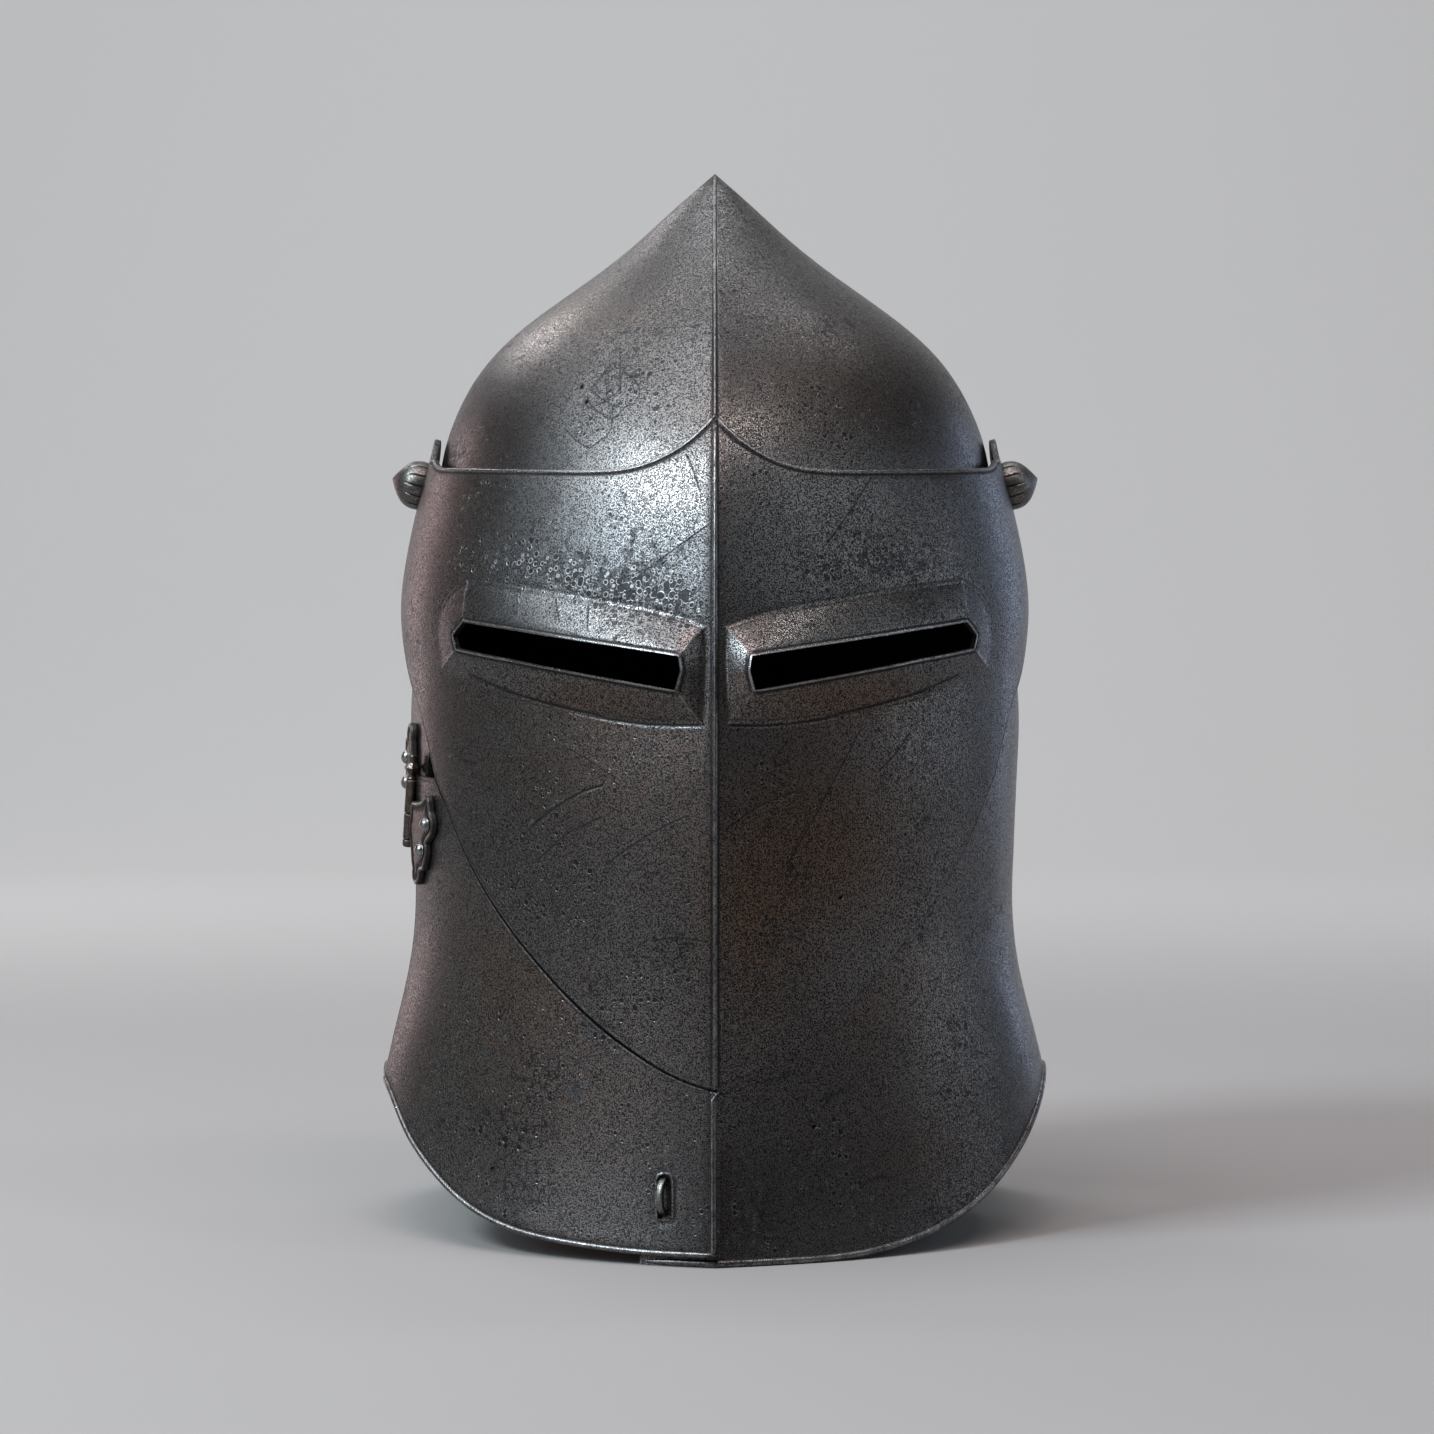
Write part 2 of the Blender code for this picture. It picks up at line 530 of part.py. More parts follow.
def make_skull(material):
    """Crown, cheeks and neck, with the fixed half of the throat, in one raised shell."""
    seam = np.pi * AROUND
    front_rim = rim_line(FRONT_RIM)
    back_rim = rim_line(BACK_RIM)
    back_rim[:, 0] = seam - back_rim[:, 0]
    corner = np.array([[AROUND * np.pi / 2, RIM_LEVEL]])
    right_rim = join(front_rim, corner, back_rim[::-1])
    left_rim = mirrored(right_rim)
    left_front = door_back_edge(-118, 38, SKULL_UNDER_DOOR)
    left_rim, left_front = meet(left_rim, left_front)
    free_x = -26.0
    free_edge = SKULL.from_front([(free_x, z) for z in np.linspace(82, 0, 7)])
    short_rim = SKULL.from_front([(free_x, 0), (-13.0, 0.0)])

    throat = SKULL.from_front(smooth_line(THROAT_FRONT, PLATE_GRID))
    cheek = SKULL.from_side(smooth_line(CHEEK_SIDE, PLATE_GRID))
    brow = SKULL.from_front(smooth_line(BROW_INNER, PLATE_GRID))
    left_cheek = mirrored(cheek)
    left_cheek = left_cheek[left_cheek[:, 1] > 193]
    levels = np.concatenate([np.arange(1, 21) * 14.4, [299, 312, 325, 337, 349, 360, 370.5]])
    top = 379.0
    count = int(round(np.pi * AROUND / PLATE_GRID))
    top_row = np.array([(q, top) for q in np.arange(count, -count - 1, -1) * seam / count])
    rise = np.concatenate([levels[levels < top], [top]])
    right_seam = np.array([(seam, z) for z in rise])
    left_seam = np.array([(-seam, z) for z in rise[::-1]])

    outline = join(short_rim, right_rim, right_seam, top_row, left_seam, left_rim,
                   left_front, left_cheek[::-1], mirrored(brow)[::-1], brow[::-1], cheek[::-1],
                   throat[::-1], free_edge)
    holes = [bolt_hole(SKULL, side) for side in (1, -1)]
    holes += [leaf_hole(p, 1) for p in LEAF_RIVETS]
    keel_low = np.array([(0.0, z) for z in np.append(np.arange(0, 66, 13.0), 74.0)])
    keel_high = np.array([(0.0, z) for z in np.concatenate([[267.5], levels[levels > 270], [top]])])
    all_rim = join(short_rim, right_rim)
    guides = [rim_guide(all_rim[1:-1], 1), rim_guide(left_rim[1:-1], 1)]
    flat, faces = triangulate(outline, holes, [keel_low, keel_high] + guides, levels)
    outer = np.maximum(rim_offsets(flat, all_rim, 0.0), rim_offsets(flat, left_rim, 0.0))
    edge = left_front[0, 0]
    outer *= np.interp(flat[:, 0], (edge - 11, edge - 8, 2.5, 7), (1, 0, 0, 1))     # none under the door
    floor = np.minimum(distance(flat, all_rim), distance(flat, left_rim)) < 0.01
    inner = np.full(len(flat), -SKULL_THICK)
    apex = [(0.0, 32.0, 384.5), (0.0, 32.0, 384.5 - APEX_DIP)]
    mesh = plate_mesh("skull", SKULL, flat, faces, outer, inner, apex, floor)
    return add("skull", mesh, material)


def leaf_hole(place, side):
    """Hole for a rivet's shank, in the leaf and in the plate under it."""
    ring = arc(place, RIVET_SHANK + RIVET_ROOM, 0, 360, 9)[:-1]
    return on_leaf(ring, side)


def visor_lower_edge():
    """The visor's lower edge on the wearer's left, from the rear corner to the keel."""
    side = VISOR.from_side(smooth_line(REAR_EDGE[-1:] + ((-49.0, 160.5),), PLATE_GRID))
    front = VISOR.from_front(smooth_line(CHIN_FRONT, PLATE_GRID * 0.75))
    return join(side[:1], front)


def frame_rise(flat, slot, frame):
    """How far the frame round an eye slot stands forward of the plain wall."""
    from_slot = distance(flat, slot, True)
    from_frame = distance(flat, frame, True)
    within = inside(frame, flat) | (from_frame < 0.01)
    share = np.where(within, from_frame / (from_slot + from_frame + 1e-9), 0)
    x = np.abs(VISOR.point(flat[:, 0] / AROUND, flat[:, 1])[:, 0])
    rise = np.interp(x, (13.0, 92.0), (FRAME_RISE_INNER, FRAME_RISE_OUTER))
    return rise * share


def make_visor(material):
    """Keeled visor with two eye slots in raised frames and an arm on each side."""
    brow = VISOR.from_front(smooth_line(BROW_FRONT, PLATE_GRID * 0.5))
    temple = VISOR.from_side(smooth_line(BROW_SIDE, PLATE_GRID))
    lobe = VISOR.from_side(arc((PIVOT_Y, PIVOT_Z), LOBE_RADIUS, 145, -55, 14))
    rear = VISOR.from_side(smooth_line(REAR_EDGE, PLATE_GRID))
    chin = visor_lower_edge()
    left_half = join(brow, temple, lobe, rear, chin)
    outline = join(left_half, mirrored(left_half))[:-1]
    slot = VISOR.from_front(SLOT)
    frame = VISOR.from_front(FRAME)
    slots = [slot, mirrored(slot)]
    frames = [frame, mirrored(frame)]
    mitres = [np.array([frame[i], slot[j]]) for i, j in MITRES]
    creases = [np.vstack([f, f[:1]]) for f in frames] + mitres + [mirrored(m) for m in mitres]
    creases.append(np.array([(0.0, z) for z in np.append(np.linspace(61, 288, 17), 294.4)]))
    holes = slots + [bolt_hole(VISOR, side) for side in (1, -1)]
    levels = np.arange(4, 21) * 14.4
    flat, faces = triangulate(outline, holes, creases, levels)
    rise = frame_rise(flat, *[slot, frame]) + frame_rise(flat, *[mirrored(slot), mirrored(frame)])
    outer = np.zeros(len(flat))
    mesh = plate_mesh("visor", VISOR, flat, faces, outer, outer - VISOR_THICK, forward=rise)
    return add("visor", mesh, material)


def make_door(material):
    """The throat door: a plate over the wearer's right half of the throat."""
    edge = visor_lower_edge()
    middle = VISOR.off(edge, -VISOR_THICK / 2)
    seam = SKULL.nearest(middle)
    way = np.gradient(seam, axis=0)
    way /= np.linalg.norm(way, axis=1)[:, None]
    seam = seam + np.column_stack([-way[:, 1], way[:, 0]]) * SEAM_GAP
    seam = mirrored(seam)
    free = SKULL.from_front([(DOOR_FREE_X, z) for z in (3.2, 16.0, 30.0, 45.0)])
    seam = seam[seam[:, 0] < 0]
    top_corner = np.array([[free[0, 0], seam[0, 1]]])
    rear = door_back_edge(-118, DOOR_TOP - HINGE_POINT[2], 0.0)[::-1]
    rim = mirrored(rim_line(DOOR_RIM))
    rim = np.vstack([[-AROUND * np.pi / 2, RIM_LEVEL + 2.5], rim])
    rear, rim = meet(rear, rim)
    outline = join(free, top_corner, seam, rear, rim)
    slot = SKULL.from_front(DOOR_SLOT)
    holes = [slot] + [leaf_hole(p, -1) for p in LEAF_RIVETS]
    keel = np.array([(0.0, z) for z in np.linspace(3.2, seam[0, 1], 5)])
    levels = np.arange(1, 12) * 14.4
    border = join(rim, free)
    guide = rim_guide(border[1:-2], 1)
    flat, faces = triangulate(outline, holes, [keel, guide], levels)
    outer = rim_offsets(flat, border, DOOR_GAP + DOOR_THICK)
    inner = np.full(len(flat), DOOR_GAP)
    mesh = plate_mesh("throat_door", SKULL, flat, faces, outer, inner)
    return add("throat_door", mesh, material)


def ring(centre, axis, radius, count, flute=0.0):
    """Points round an axis, with six shallow flutes."""
    axis = np.asarray(axis, float) / np.linalg.norm(axis)
    side = np.cross(axis, (0, 1, 0))
    side /= np.linalg.norm(side)
    other = np.cross(axis, side)
    turn = np.arange(count) * 2 * np.pi / count
    wide = radius * (1 - flute * (1 - np.cos(6 * turn)) / 2)
    return centre + wide[:, None] * (np.cos(turn)[:, None] * side + np.sin(turn)[:, None] * other)


def skin(name, rings):
    """A closed mesh through rings of points, with a point at each end."""
    verts = []
    polys = []
    for points in rings:
        verts += [tuple(p) for p in np.atleast_2d(points)]
    count = len(rings[1])
    start = 1
    for i in range(count):
        j = (i + 1) % count
        polys.append((0, 1 + j, 1 + i))
        for k in range(len(rings) - 3):
            low = start + k * count
            polys.append((low + i, low + j, low + j + count, low + i + count))
        low = start + (len(rings) - 3) * count
        polys.append((low + i, low + j, len(verts) - 1))
    mesh = bpy.data.meshes.new(name)
    mesh.from_pydata([(x * MM, y * MM, z * MM) for x, y, z in verts], [], polys)
    mesh.validate()
    return mesh


def turned(name, centre, axis, profile, count):
    """A closed mesh turned about an axis from a profile of distance and radius."""
    centre = np.asarray(centre, float)
    axis = np.asarray(axis, float) / np.linalg.norm(axis)
    rings = []
    for along, radius in profile:
        place = centre + along * axis
        rings.append(ring(place, axis, radius, count) if radius > 0 else place)
    return skin(name, rings)


def make_bolt(name, side, material):
    """Pivot bolt: plain washer inside, shank, and a fluted acorn head outside."""
    tilt = math.radians(BOLT_TILT)
    head_axis = np.array((side * math.cos(tilt), 0, math.sin(tilt)))
    rings = []
    for along, radius in BOLT_PROFILE:
        place = np.array((side * along, PIVOT_Y, PIVOT_Z))
        rings.append(ring(place, (side, 0, 0), radius, 24) if radius > 0 else place)
    surface = VISOR.from_side([(PIVOT_Y, PIVOT_Z)], side)
    base = VISOR.off(surface, 0.0)[0]
    base = np.array((base[0], PIVOT_Y, PIVOT_Z)) + 0.4 * head_axis
    rings.append(ring(base, head_axis, SHANK_RADIUS, 24))
    reach = ACORN_PROFILE[-1][0]
    for along, radius in ACORN_PROFILE:
        place = base + along * head_axis
        flute = 0.13 * (1 - (along / reach) ** 2)
        rings.append(ring(place, head_axis, radius, 24, flute) if radius > 0 else place)
    return add(name, skin(name, rings), material)


def leaf_outline(side):
    """Outline of a hinge leaf, rounded lobes and a short spike."""
    lobes = [arc(lobe[:2], lobe[2], lobe[3], lobe[4], 8) for lobe in LEAF_LOBES]
    neck, foot = (REAR_NECK, REAR_FOOT) if side > 0 else (FRONT_NECK, FRONT_FOOT)
    return on_leaf(join(np.array(neck), *lobes, np.array(foot)), side)


def make_leaf(name, side, rise, knuckle, material):
    """A hinge leaf that follows the wall, with its knuckle round the hinge line."""
    outline = leaf_outline(side)
    holes = [leaf_hole(p, side) for p in LEAF_RIVETS]
    levels = np.arange(20, 40) * 5.0
    flat, faces = triangulate(outline, holes, [], levels, 5.0)
    count = len(flat)
    mesh = plate_mesh(name, SKULL, flat, faces, np.full(count, rise + LEAF_THICK), np.full(count, rise))
    leaf = add(name, mesh, material)
    tube = add(name + "_knuckle", tube_mesh(name + "_knuckle", *knuckle), material)
    tube.hide_render = True
    tube.display_type = "WIRE"
    union = leaf.modifiers.new("knuckle", "BOOLEAN")
    union.operation = "UNION"
    union.solver = "EXACT"
    union.object = tube
    return leaf


def tube_mesh(name, low, high):
    """A tube round the hinge line between two heights."""
    count = 12
    axis = np.array(HINGE_LEAN)
    sets = [ring(hinge_place(h), axis, r, count) for h, r in
            ((low, BORE_RADIUS), (low, BARREL_RADIUS), (high, BARREL_RADIUS), (high, BORE_RADIUS))]
    verts = np.vstack(sets)
    polys = []
    for k in range(4):
        for i in range(count):
            j = (i + 1) % count
            a, b = k * count, ((k + 1) % 4) * count
            polys.append((a + i, a + j, b + j, b + i))
    mesh = bpy.data.meshes.new(name)
    mesh.from_pydata([(x * MM, y * MM, z * MM) for x, y, z in verts], [], polys)
    mesh.validate()
    return mesh


def make_rivet(name, place, side, low, high, material):
    """Domed rivet with a plain flange inside: low and high are the faces that it holds."""
    foot = on_leaf([place], side)
    base = SKULL.off(foot, 0.0)[0]
    out = SKULL.off(foot, 1.0)[0] - base
    gap = 0.35
    profile = ((low - gap - 1.0, 0.0), (low - gap - 1.0, 2.0), (low - gap, 2.2), (low - gap, RIVET_SHANK),
               (high + gap, RIVET_SHANK), (high + gap, RIVET_RADIUS), (high + gap + 0.8, 2.1),
               (high + gap + 1.5, 1.3), (high + gap + 1.8, 0.0))
    return add(name, turned(name, base, out, profile, 12), material)


def make_staple(material):
    """A loop of square bar that stands on the throat and passes through the door's slot."""
    foot = SKULL.from_front([(STAPLE_X, STAPLE_Z)])
    base = SKULL.off(foot, 0.0)[0]
    out = SKULL.off(foot, 1.0)[0] - base
    up = SKULL.off(foot + np.array([[0.0, 1.0]]), 0.0)[0] - base
    up -= out * (up @ out)
    up /= np.linalg.norm(up)
    lean = math.radians(STAPLE_LEAN)
    across = np.cross(up, out)
    if across[0] > 0:
        across = -across
    out, across = (out * math.cos(lean) + across * math.sin(lean),
                   across * math.cos(lean) - out * math.sin(lean))
    half = 5.4
    turn = np.radians(np.linspace(180, 0, 9))
    line = [(-half, 0.35)] + [(half * np.cos(t), 1.2 + (STAPLE_RISE - 1.2) * np.sin(t)) for t in turn]
    line.append((half, 0.35))
    line = np.array(line)
    way = np.gradient(line, axis=0)
    way[0], way[-1] = (0, 1), (0, -1)
    way /= np.linalg.norm(way, axis=1)[:, None]
    rings = []
    for (along, rise), (wx, wy) in zip(line, way):
        centre = base + along * up + rise * out
        thick = (-wy * up + wx * out) * STAPLE_BAR / 2
        wide = across * STAPLE_WIDE / 2
        rings.append(np.array([centre + thick - wide, centre - thick - wide,
                               centre - thick + wide, centre + thick + wide]))
    rings = [rings[0].mean(axis=0)] + rings + [rings[-1].mean(axis=0)]
    return add("staple", skin("staple", rings), material)


def main():
    for obj in list(bpy.data.objects):
        bpy.data.objects.remove(obj)
    plate = steel("pitted_steel", (0.23, 0.22, 0.215), 0.42)
    fittings = steel("worn_fittings", (0.34, 0.32, 0.30), 0.34)
    make_skull(plate)
    make_visor(plate)
    make_door(plate)
    make_leaf("hinge_leaf_rear", 1, REAR_LEAF_RISE, REAR_KNUCKLE, fittings)
    make_leaf("hinge_leaf_front", -1, FRONT_LEAF_RISE, FRONT_KNUCKLE, fittings)
    add("hinge_pin", turned("hinge_pin", hinge_place(0.0), HINGE_LEAN, PIN_PROFILE, 12), fittings)
    door_outside = DOOR_GAP + DOOR_THICK
    for number, place in enumerate(LEAF_RIVETS):
        make_rivet("leaf_rivet_rear_%d" % (number + 1), place, 1, -SKULL_THICK,
                   REAR_LEAF_RISE + LEAF_THICK, fittings)
        make_rivet("leaf_rivet_front_%d" % (number + 1), place, -1, DOOR_GAP,
                   FRONT_LEAF_RISE + LEAF_THICK, fittings)
    make_staple(fittings)
    make_bolt("pivot_bolt_left", 1, fittings)
    make_bolt("pivot_bolt_right", -1, fittings)


main()
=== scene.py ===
# Visored bascinet: plates, rolled edges and fittings in worn, pitted steel.
# Lengths are in millimetres until a mesh is made, and the studio's are in metres.
import math

import bpy
import numpy as np
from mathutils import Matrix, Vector, noise
from mathutils.geometry import delaunay_2d_cdt


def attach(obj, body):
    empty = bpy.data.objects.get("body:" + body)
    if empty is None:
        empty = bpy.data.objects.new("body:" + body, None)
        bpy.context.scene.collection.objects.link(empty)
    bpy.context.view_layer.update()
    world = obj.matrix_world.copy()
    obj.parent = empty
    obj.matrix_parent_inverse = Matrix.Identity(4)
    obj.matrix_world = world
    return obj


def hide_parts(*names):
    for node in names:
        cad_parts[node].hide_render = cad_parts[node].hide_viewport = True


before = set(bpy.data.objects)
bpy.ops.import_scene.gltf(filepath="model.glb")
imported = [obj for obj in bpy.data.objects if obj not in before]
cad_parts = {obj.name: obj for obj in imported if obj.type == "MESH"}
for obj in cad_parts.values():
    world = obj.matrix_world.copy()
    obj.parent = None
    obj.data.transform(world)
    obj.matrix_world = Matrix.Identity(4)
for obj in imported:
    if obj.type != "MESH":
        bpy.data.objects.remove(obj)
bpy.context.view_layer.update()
mm = 0.001
around = 111.0      # flat millimetres for each radian of plan angle
backSeam = np.pi * around       # where the flat pattern meets itself, behind
coarser = 1.0

skull = {"thickness": 1.8, "spacing": 2.5, "innerSpacing": 6.0, "waviness": 0.22, "waveLength": 42.0,
         "rollRadius": 1.35, "keelRadius": 0.62, "throatEdge": -26.0, "topRow": 379.0,
         "apex": (0.0, 32.0, 384.5), "apexThickness": 2.4, "cheekTop": 193.0, "keelLow": (-1.0, 76.0),
         "keelFrom": 266.0, "ridge": (278.0, 380.0), "ridgeTop": 383.6, "rollBehindDoor": 8.5}
visor = {"thickness": 1.8, "spacing": 1.9, "innerSpacing": 5.0, "frameRiseNose": 9.5,
         "frameRiseTemple": 3.2, "frameReach": (13.0, 92.0), "armRadius": 17.5, "armArc": (145, -55),
         "edgeShown": (74, 225), "mitreGap": 1.2, "keelRadius": 0.66, "keel": (60.0, 297.0),
         "bead": (61.5, 294.0)}
door = {"thickness": 1.6, "gap": 0.9, "spacing": 1.9, "innerSpacing": 5.0,
        "rollRadius": 1.0, "seamGap": 0.95, "freeEdge": 1.1, "top": 164.0}
hinge = {"point": (-110.8, -24.0, 150.0), "lean": (0.07, -0.15, 1.0),
         "leafThickness": 1.9, "rearRise": 0.5, "frontRise": 2.8, "frontShift": 7.0,
         "rearKnuckle": (0.2, 12.5), "frontKnuckle": (-9.5, -0.2), "edgeAtBarrel": 2.8,
         "edgeAtRim": 11.0, "edgeLow": -118.0, "edgeTurn": -25, "edgeTurnOver": 72,
         "skullUnderDoor": 6.0, "cornerRise": 3.4}
rivet = {"radius": 2.6, "height": 2.35, "flange": 0.5, "dent": 0.16}
bolt = {"y": 12.0, "z": 268.3, "holeUp": 0.23, "holeRadius": 3.65, "shank": 3.0, "tilt": 14.5,
        "seat": 0.4, "flutes": 14, "fluteDepth": 0.07, "fluteWidth": 0.1, "fluteTop": 6.4,
        "fluteFade": 1.6, "sides": 140}
staple = {"x": -17.05, "z": 23.4, "width": 2.4, "bar": 2.2, "rise": 4.4, "lean": 9.5, "half": 5.4,
          "foot": 0.35, "shoulder": 1.2}

# Level sections of the skull's outside: height, half width, then front, widest place and
# back along Y, and how sharp the keel is in front and at the back.
skullSections = (
    (0.0, 131.0, -124.5, 3.0, 124.0, 1.50, 1.00),
    (30.0, 125.5, -119.0, 2.0, 114.0, 1.60, 1.00),
    (60.0, 120.0, -116.5, 1.0, 106.5, 1.70, 1.00),
    (85.0, 113.6, -116.8, 0.0, 103.0, 1.80, 1.00),
    (110.0, 109.7, -118.8, 1.0, 103.5, 1.90, 1.00),
    (135.0, 110.1, -121.0, 3.0, 108.5, 1.95, 1.00),
    (165.0, 111.5, -122.3, 6.0, 116.0, 2.00, 1.00),
    (195.0, 111.6, -120.8, 9.0, 120.5, 2.00, 1.00),
    (215.0, 108.8, -118.0, 11.0, 121.5, 2.00, 1.00),
    (240.0, 105.2, -112.5, 12.0, 120.0, 2.00, 1.03),
    (262.0, 102.7, -105.5, 14.0, 116.5, 1.95, 1.06),
    (281.0, 100.0, -96.0, 17.0, 111.0, 1.90, 1.10),
    (299.0, 93.6, -83.0, 20.5, 104.0, 1.85, 1.14),
    (313.0, 85.0, -70.0, 23.5, 97.0, 1.80, 1.17),
    (327.0, 71.0, -54.0, 26.0, 89.0, 1.80, 1.20),
    (341.0, 52.0, -34.5, 28.0, 79.0, 1.80, 1.22),
    (355.0, 33.3, -13.0, 30.0, 67.0, 1.80, 1.25),
    (370.0, 16.6, 10.0, 31.5, 52.0, 1.75, 1.25),
    (384.5, 0.0, 32.0, 32.0, 32.0, 1.70, 1.25),
)

# The same for the visor's outside.
visorSections = (
    (55.0, 124.0, -119.6, 1.0, 106.5, 1.70, 1.00),
    (85.0, 116.5, -119.8, 0.0, 103.0, 1.80, 1.00),
    (110.0, 112.6, -121.8, 1.0, 103.5, 1.90, 1.00),
    (135.0, 113.0, -124.0, 3.0, 108.5, 1.95, 1.00),
    (165.0, 114.2, -125.2, 6.0, 116.0, 2.00, 1.00),
    (190.0, 114.4, -124.0, 7.0, 120.0, 2.05, 1.00),
    (205.0, 114.4, -122.4, 6.0, 120.0, 2.05, 1.00),
    (222.0, 115.6, -119.7, 6.0, 120.0, 2.05, 1.00),
    (240.0, 114.0, -115.8, 8.0, 120.0, 2.05, 1.00),
    (262.0, 109.4, -109.0, 11.0, 117.0, 2.00, 1.05),
    (281.0, 104.4, -99.8, 13.0, 114.0, 1.95, 1.10),
    (300.0, 98.5, -86.5, 15.0, 110.0, 1.90, 1.10),
)

# Lower rims, seen from the front: distance from the middle plane, and height.
frontRim = ((0.0, 0.0), (32.0, 0.0), (47.0, 0.5), (59.0, 1.9), (71.0, 4.5), (84.0, 9.3),
            (97.0, 17.0), (106.0, 25.6), (113.0, 34.6), (118.4, 44.8))
backRim = ((0.0, 0.0), (46.0, 0.0), (62.0, 1.2), (80.0, 5.5), (96.0, 14.0), (108.0, 25.5),
           (116.0, 38.5), (120.0, 47.5))
doorRim = ((0.0, 3.2), (18.6, 3.2), (34.0, 3.7), (48.4, 4.7), (60.0, 5.9), (71.6, 8.1),
           (81.2, 11.5), (93.8, 19.3), (102.6, 27.8), (109.6, 36.8), (114.8, 46.6))
rimLevel = 54.0

# The visor's edges: from the front, then along the side as place along Y and height.
browFront = ((0.0, 294.4), (5.0, 289.0), (10.4, 284.4), (17.0, 280.4), (23.5, 277.5),
             (30.0, 275.7), (38.0, 274.8), (54.5, 274.6), (76.0, 274.8))
browSide = ((-42.0, 275.0), (-28.0, 275.2), (-15.0, 276.2), (-7.5, 278.4))
rearEdge = ((14.5, 244.5), (9.5, 234.0), (4.0, 222.5), (-4.0, 211.0), (-13.0, 202.0),
            (-23.0, 194.5), (-31.5, 187.0), (-38.5, 177.5), (-45.5, 164.5))
chinFront = ((95.2, 152.6), (90.5, 141.9), (83.3, 128.8), (74.2, 116.0), (64.4, 104.5),
             (52.8, 92.6), (40.0, 81.4), (24.5, 70.9), (9.7, 63.7), (0.0, 61.0))

# Edge of the opening for the face, from the throat round to the brow.
throatFront = ((-26.0, 82.0), (0.0, 74.0), (26.0, 82.0), (40.0, 92.5), (52.0, 103.5), (63.0, 116.5),
               (72.0, 129.0), (79.0, 141.5), (84.5, 155.0))
cheekSide = ((-54.0, 169.0), (-46.0, 184.0), (-36.0, 196.0), (-27.0, 210.0), (-25.0, 226.0),
             (-30.0, 241.0), (-42.0, 252.0))
browInner = ((80.0, 256.5), (60.0, 262.0), (35.0, 265.5), (12.0, 267.0), (0.0, 267.5))

# The wearer's left eye slot and its raised frame, from the front, in order round the edge.
eyeSlot = ((12.7, 211.1), (33.0, 213.7), (53.0, 216.2), (71.0, 218.5), (89.1, 220.7), (92.9, 215.9),
           (91.8, 211.3), (72.0, 208.4), (53.0, 205.4), (33.0, 202.4), (13.8, 199.5), (12.0, 206.0))
eyeFrame = ((3.6, 220.7), (15.2, 224.5), (28.0, 227.1), (43.0, 229.5), (65.0, 232.6), (78.0, 234.2),
            (87.7, 235.2), (95.5, 229.0), (98.4, 221.0), (98.6, 212.0), (96.9, 204.6),
            (91.8, 201.3), (79.0, 197.1), (63.3, 193.6), (49.4, 190.9), (31.4, 188.6),
            (17.2, 187.8), (4.6, 188.0), (3.9, 199.0), (3.6, 210.0))
frameCorners = (0, 6, 17)       # the top, the end at the temple with the underside, and the nose
mitres = ((0, 0), (6, 4), (10, 6), (17, 10))    # corners of the frame and of the slot that meet
doorSlot = ((-19.1, 15.7), (-14.2, 15.7), (-14.2, 28.7), (-14.9, 30.4), (-16.65, 31.1),
            (-18.4, 30.4), (-19.1, 28.7))

# A hinge leaf behind the pin, each lobe an arc: distance back, height, radius, two angles.
leafLobes = ((11.0, 28.5, 4.5, 200.0, -10.0), (20.3, 26.6, 0.9, 150.0, -60.0),
             (17.0, 20.0, 5.2, 35.0, -35.0), (21.2, 10.4, 5.5, 55.0, -60.0),
             (19.4, 2.8, 3.4, -5.0, -150.0))
leafRivets = ((16.6, 19.8), (20.8, 10.0))
rearNeck = ((0.9, 12.3), (3.2, 13.2), (4.5, 16.0), (5.0, 20.0))
frontNeck = ((1.5, 16.4), (2.9, 16.5), (3.4, 18.0), (4.6, 21.0), (5.6, 25.0))
rearFoot = ((10.5, 2.2), (2.9, 1.2), (0.9, 0.4))
frontFoot = ((10.5, 2.2), (5.0, 2.2), (3.2, 3.6), (3.2, 7.3), (1.5, 7.3))

# Cross sections of what is drawn on a plate: distance from its line, height of the metal. Where the metal
# dips, its colour is darkened: painted shade in grooves, real dark pits, cracks and scratches.
lipProfile = ((0.0, 0.15), (0.25, 0.32), (0.7, 0.32), (0.95, 0.0), (1.15, -0.22), (1.5, -0.2), (2.1, 0.0))
browProfile = ((0.0, 0.05), (0.3, 0.32), (0.85, 0.35), (1.15, 0.0), (1.4, -0.18), (1.8, -0.16), (2.4, 0.0))
keelProfile = ((0.0, 0.0), (0.7, -0.04), (0.9, -0.2), (1.2, -0.14), (1.7, 0.0))
edgeProfile = ((0.0, -0.14), (0.3, 0.0), (0.7, 0.0), (1.0, -0.06), (1.4, -0.05), (2.0, 0.0))
frameProfile = ((0.0, 0.08), (0.45, 0.0), (0.9, -0.1), (1.6, 0.0))
mitreProfile = ((0.0, 0.22), (0.4, 0.08), (0.9, 0.0))
creaseProfile = ((0.0, -0.22), (0.5, -0.08), (1.1, 0.05), (2.0, 0.0))
slotProfile = ((0.0, 0.05), (0.25, 0.16), (0.6, 0.16), (0.8, 0.0), (1.1, -0.12), (1.7, 0.0))
borderProfile = ((0.0, 0.0), (1.5, 0.0), (1.75, -0.14), (2.1, -0.12), (2.6, 0.0))
leafProfile = ((0.0, -0.5), (0.35, 0.0), (0.9, 0.2), (1.3, 0.05), (1.8, -0.3), (2.6, -0.35), (3.6, -0.15))
scratchProfile = ((0.0, -0.08), (0.3, 0.03), (0.6, 0.0))
crackProfile = ((0.0, -0.05), (0.3, -0.02), (0.55, 0.0))
gashProfile = ((0.0, -0.2), (0.3, -0.1), (0.65, 0.1), (1.1, 0.16), (2.0, 0.07), (3.6, 0.0))
pitProfile = ((0.0, -0.8), (0.35, -0.7), (0.7, 0.05), (1.2, 0.0))
